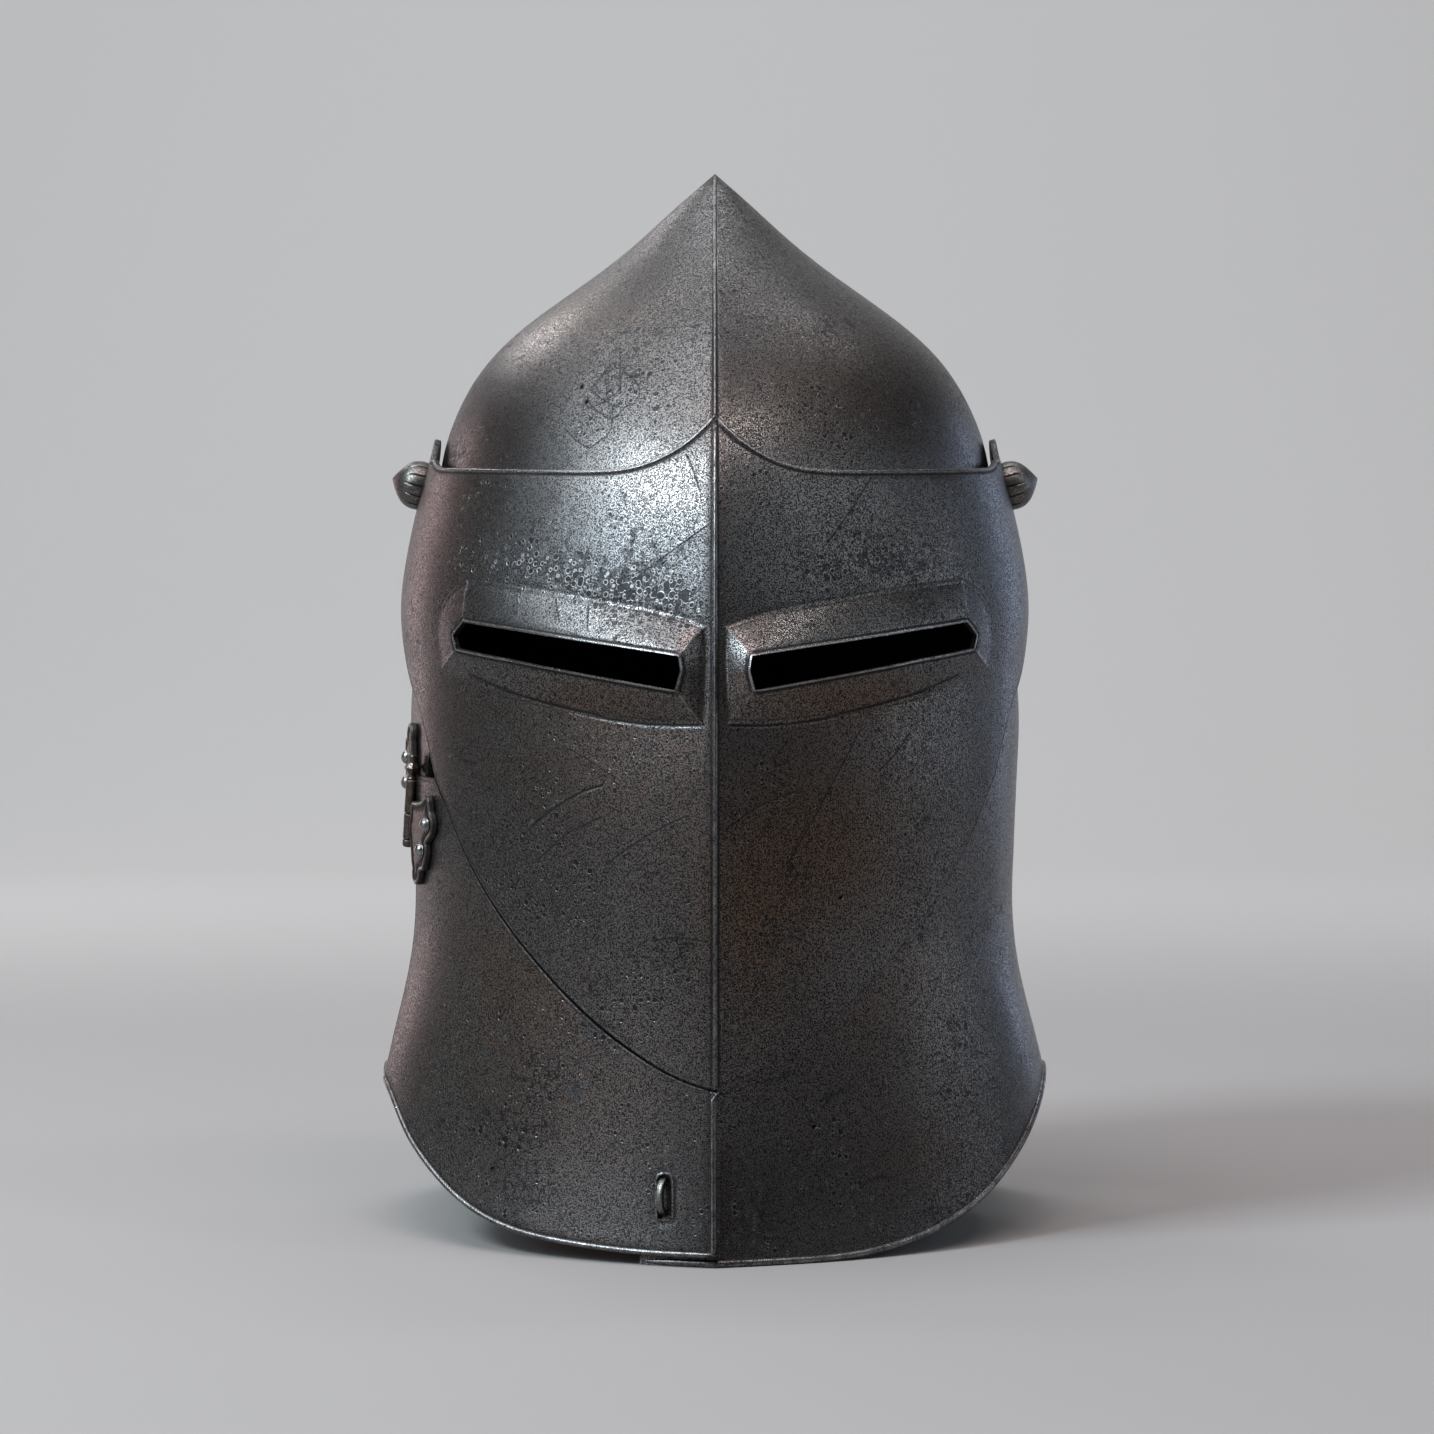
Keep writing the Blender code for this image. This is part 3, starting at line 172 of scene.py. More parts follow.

# Relief that counts as wholly worn, or wholly darkened as painted shade in its dips, and how worn a plate's
# own edge is.
fullWear = {"height": 0.4, "depth": 0.16, "rim": 0.25}

# Marks of use on the visor, the door and the skull, as seen from the front.
visorScratches = (
    ((-53.0, 178.6), (-44.0, 174.0), (-35.3, 168.6)), ((-35.3, 140.1), (-22.0, 149.5), (-9.6, 156.0)),
    ((3.4, 151.3), (16.0, 159.5), (29.4, 164.3)), ((25.9, 140.1), (39.0, 163.0), (50.5, 184.3)),
    ((-19.0, 243.6), (-9.0, 251.0), (-1.5, 256.4)), ((40.0, 250.3), (48.0, 261.5), (54.5, 271.1)),
    ((-9.7, 279.8), (-7.0, 273.0), (-5.2, 267.7)), ((-62.0, 138.0), (-50.0, 149.0), (-40.0, 154.0)),
    ((-69.6, 232.3), (-69.4, 224.5)), ((-55.6, 229.6), (-54.4, 222.6)), ((-44.0, 228.2), (-44.3, 219.4)),
    ((58.0, 170.5), (63.5, 176.0), (68.0, 182.0)), ((-22.0, 112.0), (-14.0, 113.4), (-3.0, 112.6)))
visorGash = ((-64.5, 149.6), (-59.0, 154.5), (-52.0, 159.4), (-45.5, 163.2), (-39.5, 165.2))
visorPits = ((43.8, 126.0),)
doorPits = ((-76.8, 28.4),)
throatPits = ((34.4, 46.3),)
skullPits = ((-45.4, 298.6), (-47.3, 304.0), (-54.3, 272.6))
skullCracks = (
    ((-45.1, 300.4), (-43.6, 296.2), (-41.0, 294.9), (-38.6, 293.3), (-36.2, 292.6)),
    ((-33.8, 316.5), (-33.7, 309.0), (-33.6, 302.1)), ((-37.9, 310.9), (-40.3, 308.2), (-43.2, 304.6)),
    ((-31.4, 308.8), (-28.6, 306.6), (-26.6, 303.4), (-26.9, 300.4)),
    ((-53.3, 289.2), (-50.4, 286.1), (-46.9, 283.4), (-44.1, 282.2)),
    ((-43.6, 302.6), (-40.9, 300.2), (-38.2, 298.6), (-35.1, 296.8), (-33.4, 298.0)),
    ((-36.2, 292.6), (-33.9, 294.3), (-31.6, 296.9), (-28.9, 297.8)),
    ((-36.2, 292.6), (-36.5, 289.4), (-37.9, 286.6), (-41.1, 284.3), (-44.1, 282.2)),
    ((-38.9, 306.0), (-38.2, 301.9), (-38.9, 299.1)))
lowerCrease = ((-86.0, 202.0), (-72.0, 196.8), (-56.0, 192.4), (-41.3, 189.6), (-28.3, 187.4), (-5.5, 187.4))


def spline(xs, ys):     # natural cubic through the points
    xs, ys = np.asarray(xs, float), np.asarray(ys, float)
    count = len(xs)
    step = np.diff(xs)
    matrix = np.eye(count)
    right = np.zeros(count)
    for i in range(1, count - 1):
        matrix[i, i - 1:i + 2] = step[i - 1], 2 * (step[i - 1] + step[i]), step[i]
        right[i] = 6 * ((ys[i + 1] - ys[i]) / step[i] - (ys[i] - ys[i - 1]) / step[i - 1])
    bend = np.linalg.solve(matrix, right)

    def at(value):
        value = np.asarray(value, float)
        i = np.clip(np.searchsorted(xs, value) - 1, 0, count - 2)
        after, before, wide = xs[i + 1] - value, value - xs[i], step[i]
        return (bend[i] * after ** 3 / (6 * wide) + bend[i + 1] * before ** 3 / (6 * wide)
                + (ys[i] / wide - bend[i] * wide / 6) * after
                + (ys[i + 1] / wide - bend[i + 1] * wide / 6) * before)

    return at


def lengthAlong(points):
    return np.concatenate([[0], np.cumsum(np.linalg.norm(np.diff(points, axis=0), axis=1))])


def ahead(loop):        # from each point of a loop to the next
    return np.roll(loop, -1, axis=0) - loop


def smoothLine(points, spacing):
    points = np.asarray(points, float)
    along = lengthAlong(points)
    places = np.linspace(0, along[-1], max(2, int(round(along[-1] / spacing)) + 1))
    return np.column_stack([spline(along, points[:, k])(places) for k in range(points.shape[1])])


def straightLine(points, spacing, closed=False):    # the same corners, with points between them
    points = np.asarray(points, float)
    ends = np.roll(points, -1, axis=0) if closed else points[1:]
    line = []
    for start, end in zip(points, ends):
        count = max(1, int(round(np.linalg.norm(end - start) / spacing)))
        line += [start + (end - start) * k / count for k in range(count)]
    return np.array(line if closed else line + [points[-1]])


def unit(vectors):
    vectors = np.asarray(vectors, float)
    return vectors / np.linalg.norm(vectors, axis=-1, keepdims=True)


def join(*lines):
    points = np.vstack(lines)
    keep = np.concatenate([[True], np.linalg.norm(np.diff(points, axis=0), axis=1) > 0.2])
    return points[keep]


def arc(centre, radius, first, last, count):
    angle = np.radians(np.linspace(first, last, count))
    return np.column_stack([centre[0] + radius * np.cos(angle), centre[1] + radius * np.sin(angle)])


class Wall:     # a surface of level sections; flat points are (plan angle * around, height)
    turnStep, levelStep = 0.004, 0.3        # for finding the way across and the way up
    backFrom, crown, girthLevel = 1.7, 380.0, 150.0

    def __init__(self, sections):
        rows = np.array(sections)
        self.columns = [spline(rows[:, 0], rows[:, k]) for k in range(1, rows.shape[1])]

    def point(self, angle, height):
        half, front, middle, back, frontKeel, backKeel = [c(height) for c in self.columns]
        turn = np.abs(angle)
        inFront = turn <= np.pi / 2
        keel = np.maximum(np.where(inFront, frontKeel, backKeel), 1.0001)
        sweep = np.arccos(1 - 1 / keel)
        part = np.abs(1 - turn / (np.pi / 2)) * sweep
        reach = np.where(inFront, middle - front, back - middle) / np.sin(sweep)
        x = np.sign(angle) * half * (1 - keel * (1 - np.cos(part)))
        y = middle + np.where(inFront, -1, 1) * reach * np.sin(part)
        return np.stack([x, y, np.broadcast_to(height, x.shape)], axis=-1)

    def normal(self, angle, height):    # longer on the keel, so that both flanks stay as thick
        side = np.where(angle < 0, -1.0, 1.0)
        away = np.where(np.abs(angle) < self.backFrom, self.turnStep, -self.turnStep) * side
        level = np.where(height > self.crown, -self.levelStep, self.levelStep)
        here = self.point(angle, height)
        up = (self.point(angle, height + level) - here) * np.sign(level)[:, None]
        across = (self.point(angle + away, height) - here) * np.sign(away)[:, None]
        flank = unit(np.cross(across, up))
        middle = unit(flank * (0, 1, 1))
        middle /= np.sum(middle * flank, axis=1)[:, None]
        onKeel = (np.abs(angle) < 1e-6) | (np.abs(angle) > np.pi - 1e-6)
        return np.where(onKeel[:, None], middle, flank)

    def halve(self, points, across, top):
        low, high = np.zeros(len(points)), np.full(len(points), top)
        for _ in range(40):
            middle = (low + high) / 2
            far = across(self.point(middle, points[:, 1]))
            high, low = np.where(far, middle, high), np.where(far, low, middle)
        return middle * around

    def fromFront(self, points):
        points = np.asarray(points, float)
        q = self.halve(points, lambda p: p[:, 0] > np.abs(points[:, 0]), np.pi / 2)
        return np.column_stack([np.sign(points[:, 0]) * q, points[:, 1]])

    def fromSide(self, points, side=1):
        points = np.asarray(points, float)
        q = self.halve(points, lambda p: p[:, 1] > points[:, 0], np.pi)
        return np.column_stack([side * q, points[:, 1]])

    def nearest(self, places):
        angle = np.arctan2(places[:, 0], -places[:, 1])
        height = places[:, 2].copy()
        for _ in range(12):
            here = self.point(angle, height)
            turn, level = self.turnStep / 2, self.levelStep
            across = (self.point(angle + turn, height) - here) / turn
            up = (self.point(angle, height + level) - here) / level
            miss = places - here
            aa, uu, au = [np.sum(p * q, axis=1) for p, q in ((across, across), (up, up), (across, up))]
            ma, mu = np.sum(miss * across, axis=1), np.sum(miss * up, axis=1)
            size = aa * uu - au * au
            angle = angle + (ma * uu - mu * au) / size
            height = height + (mu * aa - ma * au) / size
        return np.column_stack([angle * around, height])

    def off(self, flat, rise):
        angle, height = flat[:, 0] / around, flat[:, 1]
        return self.point(angle, height) + self.normal(angle, height) * np.reshape(rise, (-1, 1))


skullWall = Wall(skullSections)
visorWall = Wall(visorSections)


# Working on the flat pattern
def inside(loop, points):
    low, high = loop.min(axis=0), loop.max(axis=0)
    some = np.flatnonzero(((points >= low) & (points <= high)).all(axis=1))
    result = np.zeros(len(points), bool)
    x, y = points[some, :1], points[some, 1:]
    after = np.roll(loop, -1, axis=0)
    count = np.zeros(len(some), int)
    step = max(1, int(1e6 / max(len(some), 1)))
    for k in range(0, len(loop), step):
        (x0, y0), (x1, y1) = loop[k:k + step].T, after[k:k + step].T
        rise = np.where(y1 == y0, 1.0, y1 - y0)
        crosses = (y0 > y) != (y1 > y)
        count += (crosses & (x < x0 + (y - y0) * (x1 - x0) / rise)).sum(axis=1)
    result[some] = count % 2 == 1
    return result


def distance(points, line, closed=False, reach=1e9):    # anything past reach counts as far away
    starts = line if closed else line[:-1]
    ways = ahead(line) if closed else line[1:] - starts
    nearest = np.full(len(points), 1e9)
    close = np.flatnonzero(((points >= line.min(axis=0) - reach)
                            & (points <= line.max(axis=0) + reach)).all(axis=1))
    step = max(1, int(4e5 / max(len(close), 1))) if reach > 1e8 else 12
    for k in range(0, len(starts), step):
        start, way = starts[k:k + step], ways[k:k + step]
        corners = np.vstack([start, start + way])
        some = close[((points[close] >= corners.min(axis=0) - reach)
                      & (points[close] <= corners.max(axis=0) + reach)).all(axis=1)]
        spot = points[some][:, None] - start
        share = np.clip((spot * way).sum(axis=2) / np.maximum((way ** 2).sum(axis=1), 1e-12), 0, 1)
        away = np.sqrt(((spot - share[:, :, None] * way) ** 2).sum(axis=2)).min(axis=1, initial=1e9)
        nearest[some] = np.minimum(nearest[some], away)
    return nearest


def beside(line, away, closed=False):       # the line moved sideways, with mitred corners
    way = ahead(line)
    if not closed:
        way[-1] = way[-2]
    way = way / np.maximum(np.linalg.norm(way, axis=1), 1e-9)[:, None]
    normal = np.column_stack([-way[:, 1], way[:, 0]])
    before = np.roll(normal, 1, axis=0)
    if not closed:
        before[0] = normal[0]
    even = 1 + np.sum(normal * before, axis=1)
    return line + away * (normal + before) / np.maximum(even, 0.4)[:, None]


def splitRuns(line, keep):
    runs, start = [], None
    for i, good in enumerate(list(keep) + [False]):
        if good and start is None:
            start = i
        if not good and start is not None:
            if i - start > 1:
                runs.append(line[start:i])
            start = None
    return runs


def guideLines(reliefs, outline, holes):        # lines beside each mark, where its profile bends
    result = []
    for line, closed, profile in reliefs:
        for away in [d for d, _ in profile]:
            for side in (1, -1) if away else (1,):
                moved = beside(line, side * away, closed) if away else line
                if closed:
                    moved = np.vstack([moved, moved[:1]])
                keep = inside(outline, moved) & (distance(moved, outline, True) > 0.25)
                for hole in holes:
                    keep &= ~inside(hole, moved) & (distance(moved, hole, True) > 0.25)
                result += splitRuns(moved, keep)
    return result


def reliefHeight(flat, reliefs):
    total = np.zeros(len(flat))
    for line, closed, profile in reliefs:
        away, height = zip(*profile)
        total += np.interp(distance(flat, line, closed, away[-1]), away, height, right=0.0)
    return total


def fillOutline(outline, holes, lines, spacing, wall):
    low, high = outline.min(axis=0), outline.max(axis=0)
    rows = []
    wide = wall.columns[0](wall.girthLevel)
    for k, z in enumerate(np.arange(low[1] + spacing, high[1], spacing * 0.87)):
        step = spacing * np.clip(wide / max(wall.columns[0](z), 1.0), 1.0, 7.0)
        count = int(np.pi * around / step)
        columns = (np.arange(-count, count) + 0.5 * (k % 2) + 0.25) * np.pi * around / count
        columns = columns[(columns > low[0]) & (columns < high[0])]
        rows.append(np.column_stack([columns, np.full(len(columns), z)]))
    grid = np.vstack(rows)
    grid = grid[inside(outline, grid)]
    clear = 0.45 * spacing
    for loop in [outline] + holes:
        grid = grid[distance(grid, loop, True, clear) > clear]
    for line in lines:
        grid = grid[distance(grid, line, False, clear) > clear]
    for hole in holes:
        grid = grid[~inside(hole, grid)]
    points, edges = [], []
    for line, closed in [(outline, True)] + [(h, True) for h in holes] + [(c, False) for c in lines]:
        first = len(points)
        points += [tuple(p) for p in line]
        edges += [(first + i, first + i + 1) for i in range(len(line) - 1)]
        if closed:
            edges.append((first + len(line) - 1, first))
    points += [tuple(p) for p in grid]
    found = delaunay_2d_cdt(points, edges, [], 0, 1e-4)
    flat = np.array([tuple(v) for v in found[0]])
    faces = np.array([tuple(f) for f in found[2]])
    centre = flat[faces].mean(axis=1)
    keep = inside(outline, centre)
    for hole in holes:
        keep &= ~inside(hole, centre)
    faces = faces[keep]
    a, b, c = flat[faces[:, 0]], flat[faces[:, 1]], flat[faces[:, 2]]
    area = (b[:, 0] - a[:, 0]) * (c[:, 1] - a[:, 1]) - (c[:, 0] - a[:, 0]) * (b[:, 1] - a[:, 1])
    return flat, faces if area.sum() > 0 else faces[:, ::-1]


def freeEdges(faces):
    rim = {}
    for f in faces.tolist():
        for edge in ((f[0], f[1]), (f[1], f[2]), (f[2], f[0])):
            if edge[::-1] in rim:
                del rim[edge[::-1]]
            else:
                rim[edge] = True
    return rim


def withPoints(loops, points):      # the loops with every point that lies on one of them
    loops = [loop.copy() for loop in loops]
    for point in points:
        if min(np.linalg.norm(loop - point, axis=1).min() for loop in loops) < 1e-5:
            continue
        found = []
        for k, loop in enumerate(loops):
            ways = ahead(loop)
            share = np.sum((point - loop) * ways, axis=1) / np.maximum(np.sum(ways ** 2, axis=1), 1e-12)
            share = np.clip(share, 0, 1)
            away = np.linalg.norm(loop + share[:, None] * ways - point, axis=1)
            found.append((away.min(), k, int(away.argmin())))
        _, k, i = min(found)
        loops[k] = np.insert(loops[k], i + 1, point, axis=0)
    return loops


def waves(places):      # gentle unevenness of hand raised metal
    length = skull["waveLength"]
    return np.array([noise.noise(Vector(p) / length) + 0.4 * noise.noise(Vector(p) / length * 2.7)
                     for p in places]) * skull["waviness"]


def meshPiece(name, places, faces, material, values=None, smoothAngle=40):
    mesh = bpy.data.meshes.new(name)
    mesh.from_pydata((np.asarray(places) * mm).tolist(), [], [list(map(int, f)) for f in faces])
    mesh.validate()
    for label, numbers in (values or {}).items():
        layer = mesh.attributes.new(label, "FLOAT", "POINT")
        layer.data.foreach_set("value", np.asarray(numbers, np.float32))
    mesh.materials.append(material)
    mesh.shade_smooth()
    mesh.set_sharp_from_angle(angle=math.radians(smoothAngle))
    piece = bpy.data.objects.new(name, mesh)
    bpy.context.scene.collection.objects.link(piece)
    return piece


def plateSkin(flat, faces, wall, floor, push):      # the points on the wall, with each place once
    here = wall.point(flat[:, 0] / around, flat[:, 1])
    out = wall.normal(flat[:, 0] / around, flat[:, 1])
    if floor is not None:       # the rim that stands on the floor stays level
        level = unit(out * (1, 1, 0))
        out = np.where((distance(flat, floor, False, 0.05) < 0.01)[:, None], level, out)
    moved = here if push is None else here - np.outer(push(flat), (0, 1, 0))
    _, first, same = np.unique(np.round(here, 3), axis=0, return_index=True, return_inverse=True)
    faces = first[same.ravel()][faces]
    faces = faces[[len(set(f)) == 3 for f in faces.tolist()]]
    used = np.unique(faces)
    place = np.full(len(flat), -1)
    place[used] = np.arange(len(used))
    return flat[used], place[faces], here[used], moved[used], out[used]


def plateMasks(flat, here, relief, reliefs, rim, spots):     # what the finish reads at each point
    # Dips in the relief darken the colour as painted shade in grooves; the cracks and scratches below are
    # real dark lines.
    masks = {"worn": np.clip(relief / fullWear["height"], 0, 1),
             "hollow": np.clip(-relief / fullWear["depth"], 0, 1), "inside": np.zeros(len(flat))}
    masks["worn"][rim] = fullWear["rim"]
    for line, closed, profile in reliefs:
        if profile in (crackProfile, scratchProfile):
            near = distance(flat, line, closed, 1.0)
            masks["hollow"] = np.maximum(masks["hollow"], np.clip(1 - near / 0.5, 0, 1))
    inFront = here[:, 1] < 10
    for label, blots in spots.items():
        masks[label] = np.zeros(len(flat))
        for x, z, wide, tall, strength in blots:
            masks[label] += inFront * strength * np.exp(-((here[:, 0] - x) / wide) ** 2
                                                        - ((here[:, 2] - z) / tall) ** 2)
    return masks


def platePiece(name, wall, outline, holes, creases, reliefs, size, base, material,
               apex=None, floor=None, push=None, spots=None, sharp=40):
    # a fine skin outside, a plain one inside, and a wall between their edges
    outer = fillOutline(outline, holes, creases + guideLines(reliefs, outline, holes),
                        size["spacing"] * coarser, wall)
    onEdge = sorted(set(i for edge in freeEdges(outer[1]) for i in edge))
    loops = withPoints([outline] + holes, outer[0][onEdge])
    inner = fillOutline(loops[0], loops[1:], creases, size["innerSpacing"] * coarser, wall)
    flat, faces, here, moved, out = plateSkin(*outer, wall, floor, push)
    _, facesIn, hereIn, movedIn, outIn = plateSkin(*inner, wall, floor, push)
    relief = reliefHeight(flat, reliefs)
    rise = base + relief + waves(here)
    fall = base - size["thickness"] + waves(hereIn)
    places = [moved + out * rise[:, None], movedIn + outIn * fall[:, None]]
    count, summit = len(here), len(here) + len(hereIn)
    polys = [tuple(f) for f in faces] + [tuple(f[::-1] + count) for f in facesIn]
    index = {tuple(np.round(p, 3)): i for i, p in enumerate(hereIn)}
    rim = freeEdges(faces)
    partner = {a: count + index[tuple(np.round(here[a], 3))] for edge in rim for a in edge}
    peak = flat[:, 1].max() - 1e-3
    if apex is not None:
        places.append(np.array(apex))
    for a, b in rim:
        if apex is not None and flat[a, 1] > peak and flat[b, 1] > peak:
            polys += [(b, a, summit), (partner[a], partner[b], summit + 1)]
        else:
            polys += [(b, a, partner[a]), (b, partner[a], partner[b])]
    masks = plateMasks(flat, here, relief, reliefs, list(partner), spots or {})
    extra = np.zeros(0 if apex is None else 2)
    # the inner skin is marked as inside, and the finish darkens it as painted shade
    masks = {label: np.concatenate([v, np.full(len(hereIn), float(label == "inside")), extra])
             for label, v in masks.items()}
    print(name, len(polys), "triangles")
    return meshPiece(name, np.vstack(places), polys, material, masks, sharp)


def mirrored(line):
    return np.column_stack([-line[:, 0], line[:, 1]])[::-1]


def boltHole(wall, side):
    circle = arc((bolt["y"], bolt["z"] + bolt["holeUp"]), bolt["holeRadius"], 0, 360, 33)[:-1]
    return wall.fromSide(circle, side)


# The door's hinge line
hingeWay = unit(hinge["lean"])


def hingePlace(along):
    return np.array(hinge["point"]) + along * hingeWay


def fromHinge(behind, along):
    foot = skullWall.nearest(hingePlace(0.0)[None])
    out = skullWall.off(foot, 1.0) - skullWall.off(foot, 0.0)
    back = np.cross(out[0], (0.0, 0.0, 1.0))
    back *= np.sign(back[1]) / np.linalg.norm(back)
    return skullWall.nearest(np.array([hingePlace(u) + t * back for t, u in zip(behind, along)]))


def doorBackEdge(high, further):
    along = np.linspace(hinge["edgeLow"], high, 70)
    lower = np.clip((hinge["edgeTurn"] - along) / hinge["edgeTurnOver"], 0, 1.1)
    forward = hinge["edgeAtBarrel"] + (hinge["edgeAtRim"] - hinge["edgeAtBarrel"]) * lower + further
    return fromHinge(-forward, along)


def meet(first, second):
    for i in range(len(first) - 1):
        for j in range(len(second) - 1):
            a, b = first[i + 1] - first[i], second[j + 1] - second[j]
            size = a[0] * b[1] - a[1] * b[0]
            if abs(size) < 1e-12:
                continue
            gap = second[j] - first[i]
            s, t = (gap[0] * b[1] - gap[1] * b[0]) / size, (gap[0] * a[1] - gap[1] * a[0]) / size
            if 0 <= s <= 1 and 0 <= t <= 1:
                corner = first[i] + s * a
                return np.vstack([first[:i + 1], corner]), np.vstack([corner, second[j + 1:]])
    return first, second


def upMiddle(heights):
    return np.array([(0.0, z) for z in heights])


def rimLine(table):
    line = smoothLine(table, 12.8)
    line[:, 1] = np.maximum(line[:, 1], table[0][1])
    return skullWall.fromFront(line)


def onLeaf(points, side):
    points = np.asarray(points, float) * side
    return fromHinge(points[:, 0], points[:, 1] + (hinge["frontShift"] if side < 0 else 0.0))


def marks(wall, lines, profile, spacing=1.6, shape=smoothLine):
    return [(wall.fromFront(shape(line, spacing)), False, profile) for line in lines]


def pits(wall, places):
    return [(wall.fromFront(arc(place, 0.15, 0, 360, 9)[:-1]), True, pitProfile) for place in places]


# Geometry Nodes trees, and the plain meshes made with them
def addNode(tree, kind, settings=None, **sockets):      # sockets by name, or by number as i0, i1
    node = tree.nodes.new(kind)
    for key, value in (settings or {}).items():
        setattr(node, key, value)
    for key, value in sockets.items():
        socket = node.inputs[int(key[1:])] if key[1:].isdigit() else node.inputs[key.replace("_", " ")]
        if isinstance(value, bpy.types.NodeSocket):
            tree.links.new(value, socket)
        else:
            socket.default_value = value
    return node


def calc(tree, operation, *values, clamp=False):
    sockets = {"i%d" % i: value for i, value in enumerate(values)}
    return addNode(tree, "ShaderNodeMath", {"operation": operation, "use_clamp": clamp}, **sockets).outputs[0]


def plus(tree, *values, clamp=False):
    return calc(tree, "ADD", *values, clamp=clamp)


def minus(tree, *values, clamp=False):
    return calc(tree, "SUBTRACT", *values, clamp=clamp)


def times(tree, *values):
    return calc(tree, "MULTIPLY", *values)


def over(tree, *values):
    return calc(tree, "DIVIDE", *values)


def vectorCalc(tree, operation, *values, **sockets):
    sockets.update({"i%d" % i: value for i, value in enumerate(values)})
    return addNode(tree, "ShaderNodeVectorMath", {"operation": operation}, **sockets).outputs[0]


def mapRange(tree, value, low, high, first=0.0, last=1.0, kind="LINEAR"):
    return addNode(tree, "ShaderNodeMapRange", {"interpolation_type": kind}, Value=value, i1=low, i2=high,
                   i3=first, i4=last).outputs[0]


def smoothStep(tree, value, low, high):
    return mapRange(tree, value, low, high, kind="SMOOTHSTEP")


def noiseField(tree, vector, scale, detail, settings=None, **sockets):
    return addNode(tree, "ShaderNodeTexNoise", settings, Vector=vector, Scale=scale, Detail=detail,
                   **sockets).outputs[0]


def cells(tree, vector, scale):     # distance to the nearest cell's point, and a number for that cell
    found = addNode(tree, "ShaderNodeTexVoronoi", Vector=vector, Scale=scale).outputs
    return found["Distance"], addNode(tree, "ShaderNodeSeparateColor", Color=found["Color"]).outputs[0]


def swing(tree, value, size):       # a noise about its middle
    return times(tree, minus(tree, value, 0.5), size)


def newTree(name, kind, inputs, outputs):       # each input is a kind of socket or a usual value
    tree = bpy.data.node_groups.new(name, kind)
    for label, value in inputs.items():
        socketKind = {float: "Float", int: "Int", str: value}[type(value)]
        socket = tree.interface.new_socket(label, in_out="INPUT", socket_type="NodeSocket" + socketKind)
        if socketKind != value:
            socket.default_value = value
    for label, socketKind in outputs.items():
        tree.interface.new_socket(label, in_out="OUTPUT", socket_type="NodeSocket" + socketKind)
    return tree, tree.nodes.new("NodeGroupInput").outputs, tree.nodes.new("NodeGroupOutput").inputs


def finishTree(tree, geometry, material, result):
    smooth = addNode(tree, "GeometryNodeSetShadeSmooth", i0=geometry)
    real = addNode(tree, "GeometryNodeRealizeInstances", i0=smooth.outputs[0])
    finish = addNode(tree, "GeometryNodeSetMaterial", i0=real.outputs[0], Material=material)
    tree.links.new(finish.outputs[0], result)
    return tree


def rolledEdgeTree():       # a round bead along a path, tapered where the path ends
    tree, given, made = newTree("rolledEdge", "GeometryNodeTree", {
        "Path": "Geometry", "Radius": 0.001, "Taper": 0.004, "Unevenness": 0.06, "Sides": 14,
        "Seed": 3, "Finish": "Material"}, {"Bead": "Geometry"})
    curve = addNode(tree, "GeometryNodeMeshToCurve", Mesh=given["Path"])
    along = addNode(tree, "GeometryNodeSplineParameter").outputs["Length"]
    whole = addNode(tree, "GeometryNodeSplineLength").outputs["Length"]
    taper = over(tree, calc(tree, "MINIMUM", along, minus(tree, whole, along)),
                 calc(tree, "MAXIMUM", given["Taper"], 0.00001))
    taper = calc(tree, "SQRT", calc(tree, "MINIMUM", plus(tree, taper, 0.05), 1.0))
    position = addNode(tree, "GeometryNodeInputPosition").outputs[0]
    spot = noiseField(tree, position, 110.0, 1.0, {"noise_dimensions": "4D"}, W=given["Seed"])
    radius = times(tree, times(tree, given["Radius"], taper),
                   plus(tree, swing(tree, spot, given["Unevenness"]), 1.0))
    ring = addNode(tree, "GeometryNodeCurvePrimitiveCircle", {"mode": "RADIUS"},
                   Resolution=given["Sides"], Radius=1.0)
    sized = addNode(tree, "GeometryNodeSetCurveRadius", Curve=curve.outputs[0], Radius=radius)
    tube = addNode(tree, "GeometryNodeCurveToMesh", i0=sized.outputs[0], Profile_Curve=ring.outputs[0],
                   Fill_Caps=True)
    if "Scale" in tube.inputs:
        tree.links.new(radius, tube.inputs["Scale"])
    return finishTree(tree, tube.outputs[0], given["Finish"], made["Bead"])


